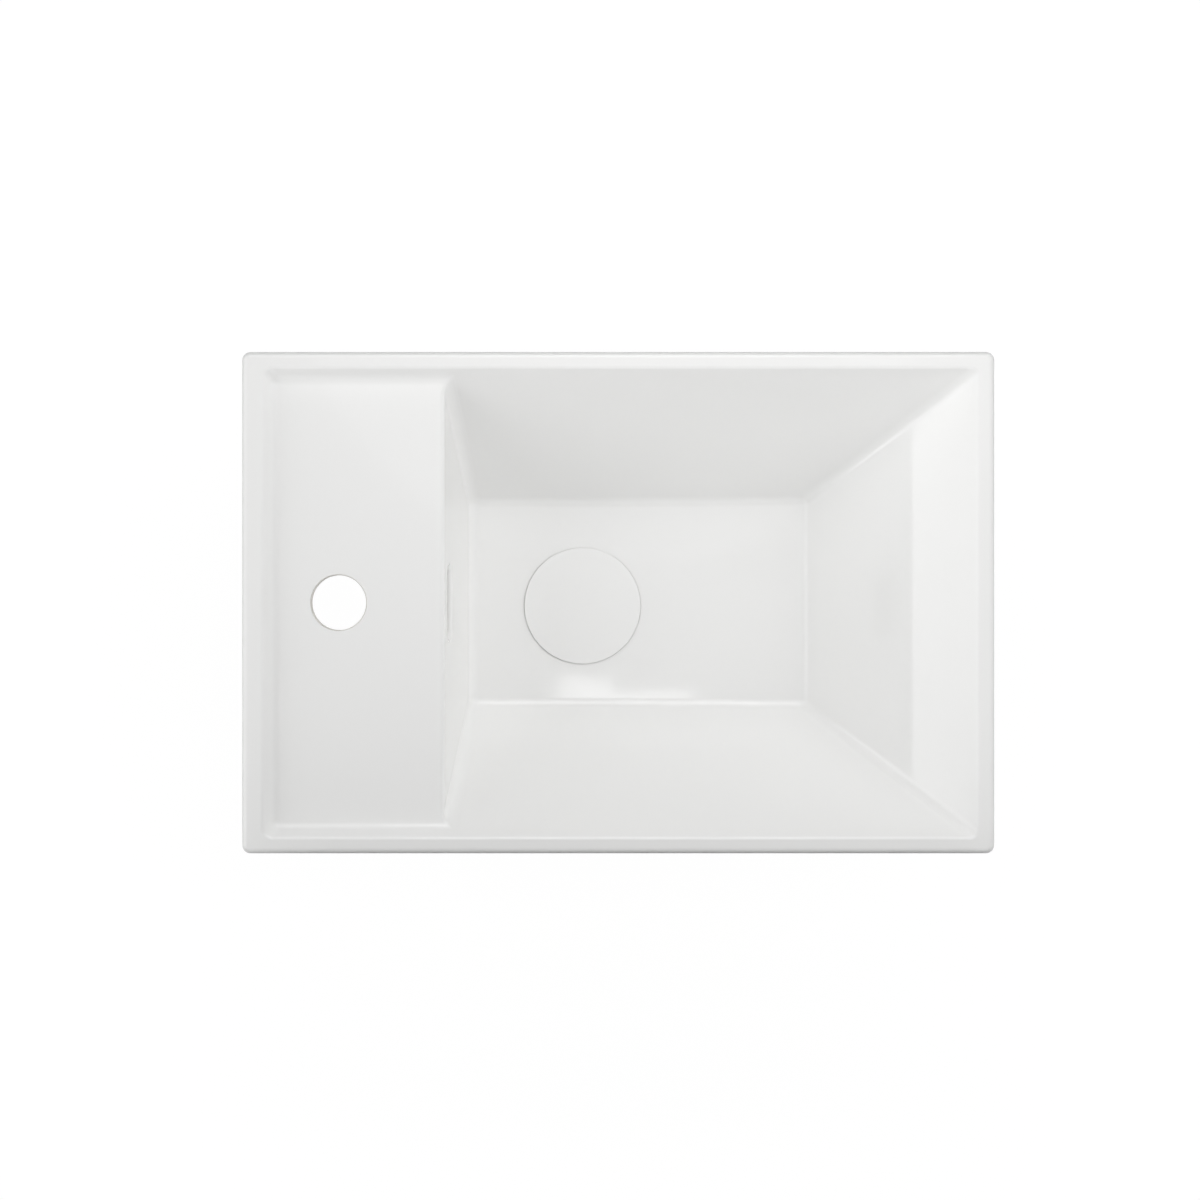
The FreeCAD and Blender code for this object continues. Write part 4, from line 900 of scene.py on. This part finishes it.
camera_data = bpy.data.cameras.new("camera")
camera_data.lens = camera_data.sensor_width * CAMERA_RISE / FIELD_WIDTH
camera = bpy.data.objects.new("camera", camera_data)
camera.location = (CAMERA_X, CAMERA_Y, RIM_TOP + CAMERA_RISE)
bpy.context.scene.collection.objects.link(camera)
bpy.context.scene.camera = camera
bpy.context.scene.view_settings.view_transform = "Standard"


def area_lamp(name, shape, length, width, strength):
    """A lamp that the camera doesn't see. Its power goes with its area, so that lamps of one strength
    are equally bright to look at."""
    light = bpy.data.lights.new(name, "AREA")
    light.shape = shape
    light.size = length
    light.size_y = width
    filled = math.pi / 4 if shape == "DISK" else 1
    light.energy = strength * math.pi * length * width * filled
    lamp = bpy.data.objects.new(name, light)
    lamp.visible_camera = False
    bpy.context.scene.collection.objects.link(lamp)
    return lamp


# Soft round lamps: the width and the distance from the middle of the rim in metres, the direction
# (0 is to the right, 90 to the back) and the height in degrees, and the strength.
LAMPS = {
    "back_left_softbox": (0.65, 0.8, 105, 50, 1.1),
    "back_softbox": (0.65, 0.8, 75, 50, 0.87),
    "back_right_softbox": (0.65, 0.8, 45, 50, 0.37),
    "high_back_softbox": (0.45, 0.55, 90, 65, 0.48),
    "left_panel": (1.2, 1.2, 180, 25, 1.56),
    "front_left_panel": (1.2, 1.2, 215, 25, 0.62),
    "front_panel": (1.6, 1.6, 270, 25, 0.92),
    "right_panel": (1.2, 1.2, 0, 45, 1.96),
    "under_panel": (1.6, 1.2, 0, -90, 3.4),
}

for lamp_name, (width, distance, direction, elevation, strength) in LAMPS.items():
    turn, rise = math.radians(direction), math.radians(elevation)
    from_middle = Vector((math.cos(rise) * math.cos(turn), math.cos(rise) * math.sin(turn), math.sin(rise)))
    lamp = area_lamp(lamp_name, "DISK", width, width, strength)
    lamp.location = from_middle * distance
    lamp.rotation_euler = from_middle.to_track_quat("Z", "Y").to_euler()
    # the right-hand panel is behind a scrim, and so shows in no mirror
    lamp.visible_glossy = lamp_name != "right_panel"

# Two small lamps in the ceiling, which the bowl's floor mirrors in front of the waste: where each is
# in millimetres, and its length and width.
CEILING_HEIGHT = 2.92
CEILING_STRENGTH = 4.4
CEILING_LAMPS = {
    "left_ceiling_lamp": (-34.5, -126, 48, 57),
    "right_ceiling_lamp": (25, -138, 70, 36),
}
for lamp_name, (x, y, length, width) in CEILING_LAMPS.items():
    lamp = area_lamp(lamp_name, "RECTANGLE", length * MM, width * MM, CEILING_STRENGTH)
    lamp.location = (x * MM, y * MM, CEILING_HEIGHT)


def seen_directly(tree):
    """1 for what the camera sees, at first hand or in a mirror or through glass, and otherwise 0."""
    path = add(tree, "ShaderNodeLightPath").outputs
    mirrored = add(
        tree,
        "ShaderNodeMath",
        {0: path["Is Glossy Ray"], 1: path["Is Transmission Ray"]},
        operation="MAXIMUM",
    )
    return add(
        tree, "ShaderNodeMath", {0: path["Is Camera Ray"], 1: mirrored.outputs[0]}, operation="MAXIMUM"
    ).outputs[0]


# The studio's walls are white to look at and give the object a little light. In mirrors the back
# wall is lit to well above the object, the side walls to less, and the front wall and the ceiling
# are dim: the line to which the walls are lit falls from back to front, and above it they fade.
AMBIENT = 0.05
CEILING = 0.1
LIT_LINE_FALL = 0.6
LIT_LINE, DIM_LINE = 0.35, 0.7
world = bpy.data.worlds.new("studio")
world.use_nodes = True
studio = world.node_tree
studio.nodes.clear()
upwards = add(studio, "ShaderNodeSeparateXYZ", {0: add(studio, "ShaderNodeTexCoord").outputs["Generated"]})
lit_height = add(
    studio,
    "ShaderNodeMath",
    {0: upwards.outputs["Y"], 1: -LIT_LINE_FALL, 2: upwards.outputs["Z"]},
    operation="MULTIPLY_ADD",
)
mirrored = add(
    studio,
    "ShaderNodeMapRange",
    {
        "Value": lit_height.outputs[0],
        "From Min": LIT_LINE,
        "From Max": DIM_LINE,
        "To Min": 1.0,
        "To Max": CEILING,
    },
)
ray = add(studio, "ShaderNodeLightPath")
unseen = add(
    studio,
    "ShaderNodeMapRange",
    {"Value": ray.outputs["Is Glossy Ray"], "To Min": AMBIENT, "To Max": mirrored.outputs["Result"]},
)
looked_at = add(
    studio,
    "ShaderNodeMath",
    {0: ray.outputs["Is Camera Ray"], 1: ray.outputs["Is Transmission Ray"]},
    operation="MAXIMUM",
)
brightness = add(
    studio,
    "ShaderNodeMapRange",
    {"Value": looked_at.outputs[0], "To Min": unseen.outputs["Result"], "To Max": 1.0},
)
walls = add(
    studio,
    "ShaderNodeBackground",
    {"Color": linear("#ffffff"), "Strength": brightness.outputs["Result"]},
)
add(studio, "ShaderNodeOutputWorld", {"Surface": walls.outputs[0]})
bpy.context.scene.world = world


# How far the floor reaches, how far it is below the object, and the light that it gives of itself,
# to which the lamps add up to white
FLOOR_REACH = 6.0
FLOOR_GAP = 0.5 * MM
FLOOR_GLOW = 0.96


def studio_floor():
    """Painted board: white to look at with the object's faint shadow, a middling grey to the light
    that it throws back, and open from below."""
    material, tree, place = new_material("painted_board")
    seen = seen_directly(tree)
    grain = add(tree, "ShaderNodeTexNoise", {"Vector": place, "Scale": repeats(60), "Detail": 2.0})
    grey = add(
        tree,
        "ShaderNodeMix",
        {0: grain.outputs["Fac"], MIX_A: linear("#6a6a6a"), MIX_B: linear("#6e6e6e")},
        data_type="RGBA",
    )
    shaded = add(
        tree,
        "ShaderNodeMix",
        {0: seen, MIX_A: grey.outputs[MIX_RESULT], MIX_B: linear("#484848")},
        data_type="RGBA",
    )
    glow = add(tree, "ShaderNodeMath", {0: seen, 1: FLOOR_GLOW}, operation="MULTIPLY")
    board = add(
        tree,
        "ShaderNodeBsdfPrincipled",
        {
            "Base Color": shaded.outputs[MIX_RESULT],
            "Roughness": 0.9,
            "Specular IOR Level": 0.0,
            "Emission Color": linear("#ffffff"),
            "Emission Strength": glow.outputs[0],
        },
    )
    from_below = add(tree, "ShaderNodeNewGeometry").outputs["Backfacing"]
    clear = add(tree, "ShaderNodeBsdfTransparent")
    one_sided = add(
        tree, "ShaderNodeMixShader", {0: from_below, 1: board.outputs[0], 2: clear.outputs[0]}
    )
    add(tree, "ShaderNodeOutputMaterial", {"Surface": one_sided.outputs[0]})
    return material


floor_shape = bmesh.new()
bmesh.ops.create_grid(floor_shape, x_segments=1, y_segments=1, size=FLOOR_REACH)
bmesh.ops.translate(floor_shape, verts=floor_shape.verts, vec=(0, 0, cad_box[0].z - FLOOR_GAP))
floor_mesh = bpy.data.meshes.new("floor")
floor_shape.to_mesh(floor_mesh)
floor_shape.free()
floor_mesh.materials.append(studio_floor())
floor = new_piece("floor", floor_mesh)
# the panel under it lights the object's underside through it
floor.visible_shadow = False


def black_card():
    """Matt black card, which swallows nearly all light."""
    material, tree, place = new_material("black_card")
    fibre = add(tree, "ShaderNodeTexNoise", {"Vector": place, "Scale": repeats(3), "Detail": 2.0})
    black = add(
        tree,
        "ShaderNodeMix",
        {0: fibre.outputs["Fac"], MIX_A: linear("#121212"), MIX_B: linear("#181818")},
        data_type="RGBA",
    )
    return surfaced(material, Base_Color=black.outputs[MIX_RESULT], Roughness=0.95)


# A black card stands along the rim's front, out of sight, as a photographer sets one to draw a white
# edge: it keeps the light from the front off that edge.
CARD_GAP, CARD_RISE, CARD_DROP = 50 * MM, 55 * MM, 60 * MM
card_y = cad_box[0].y - CARD_GAP
card_mesh = bpy.data.meshes.new("front_card")
card_mesh.from_pydata(
    [
        (cad_box[0].x, card_y, cad_box[1].z - CARD_DROP),
        (cad_box[1].x, card_y, cad_box[1].z - CARD_DROP),
        (cad_box[1].x, card_y, cad_box[1].z + CARD_RISE),
        (cad_box[0].x, card_y, cad_box[1].z + CARD_RISE),
    ],
    [],
    [(0, 1, 2, 3)],
)
card_mesh.materials.append(black_card())
card = new_piece("front_card", card_mesh)
card.visible_camera = False
card.visible_glossy = False
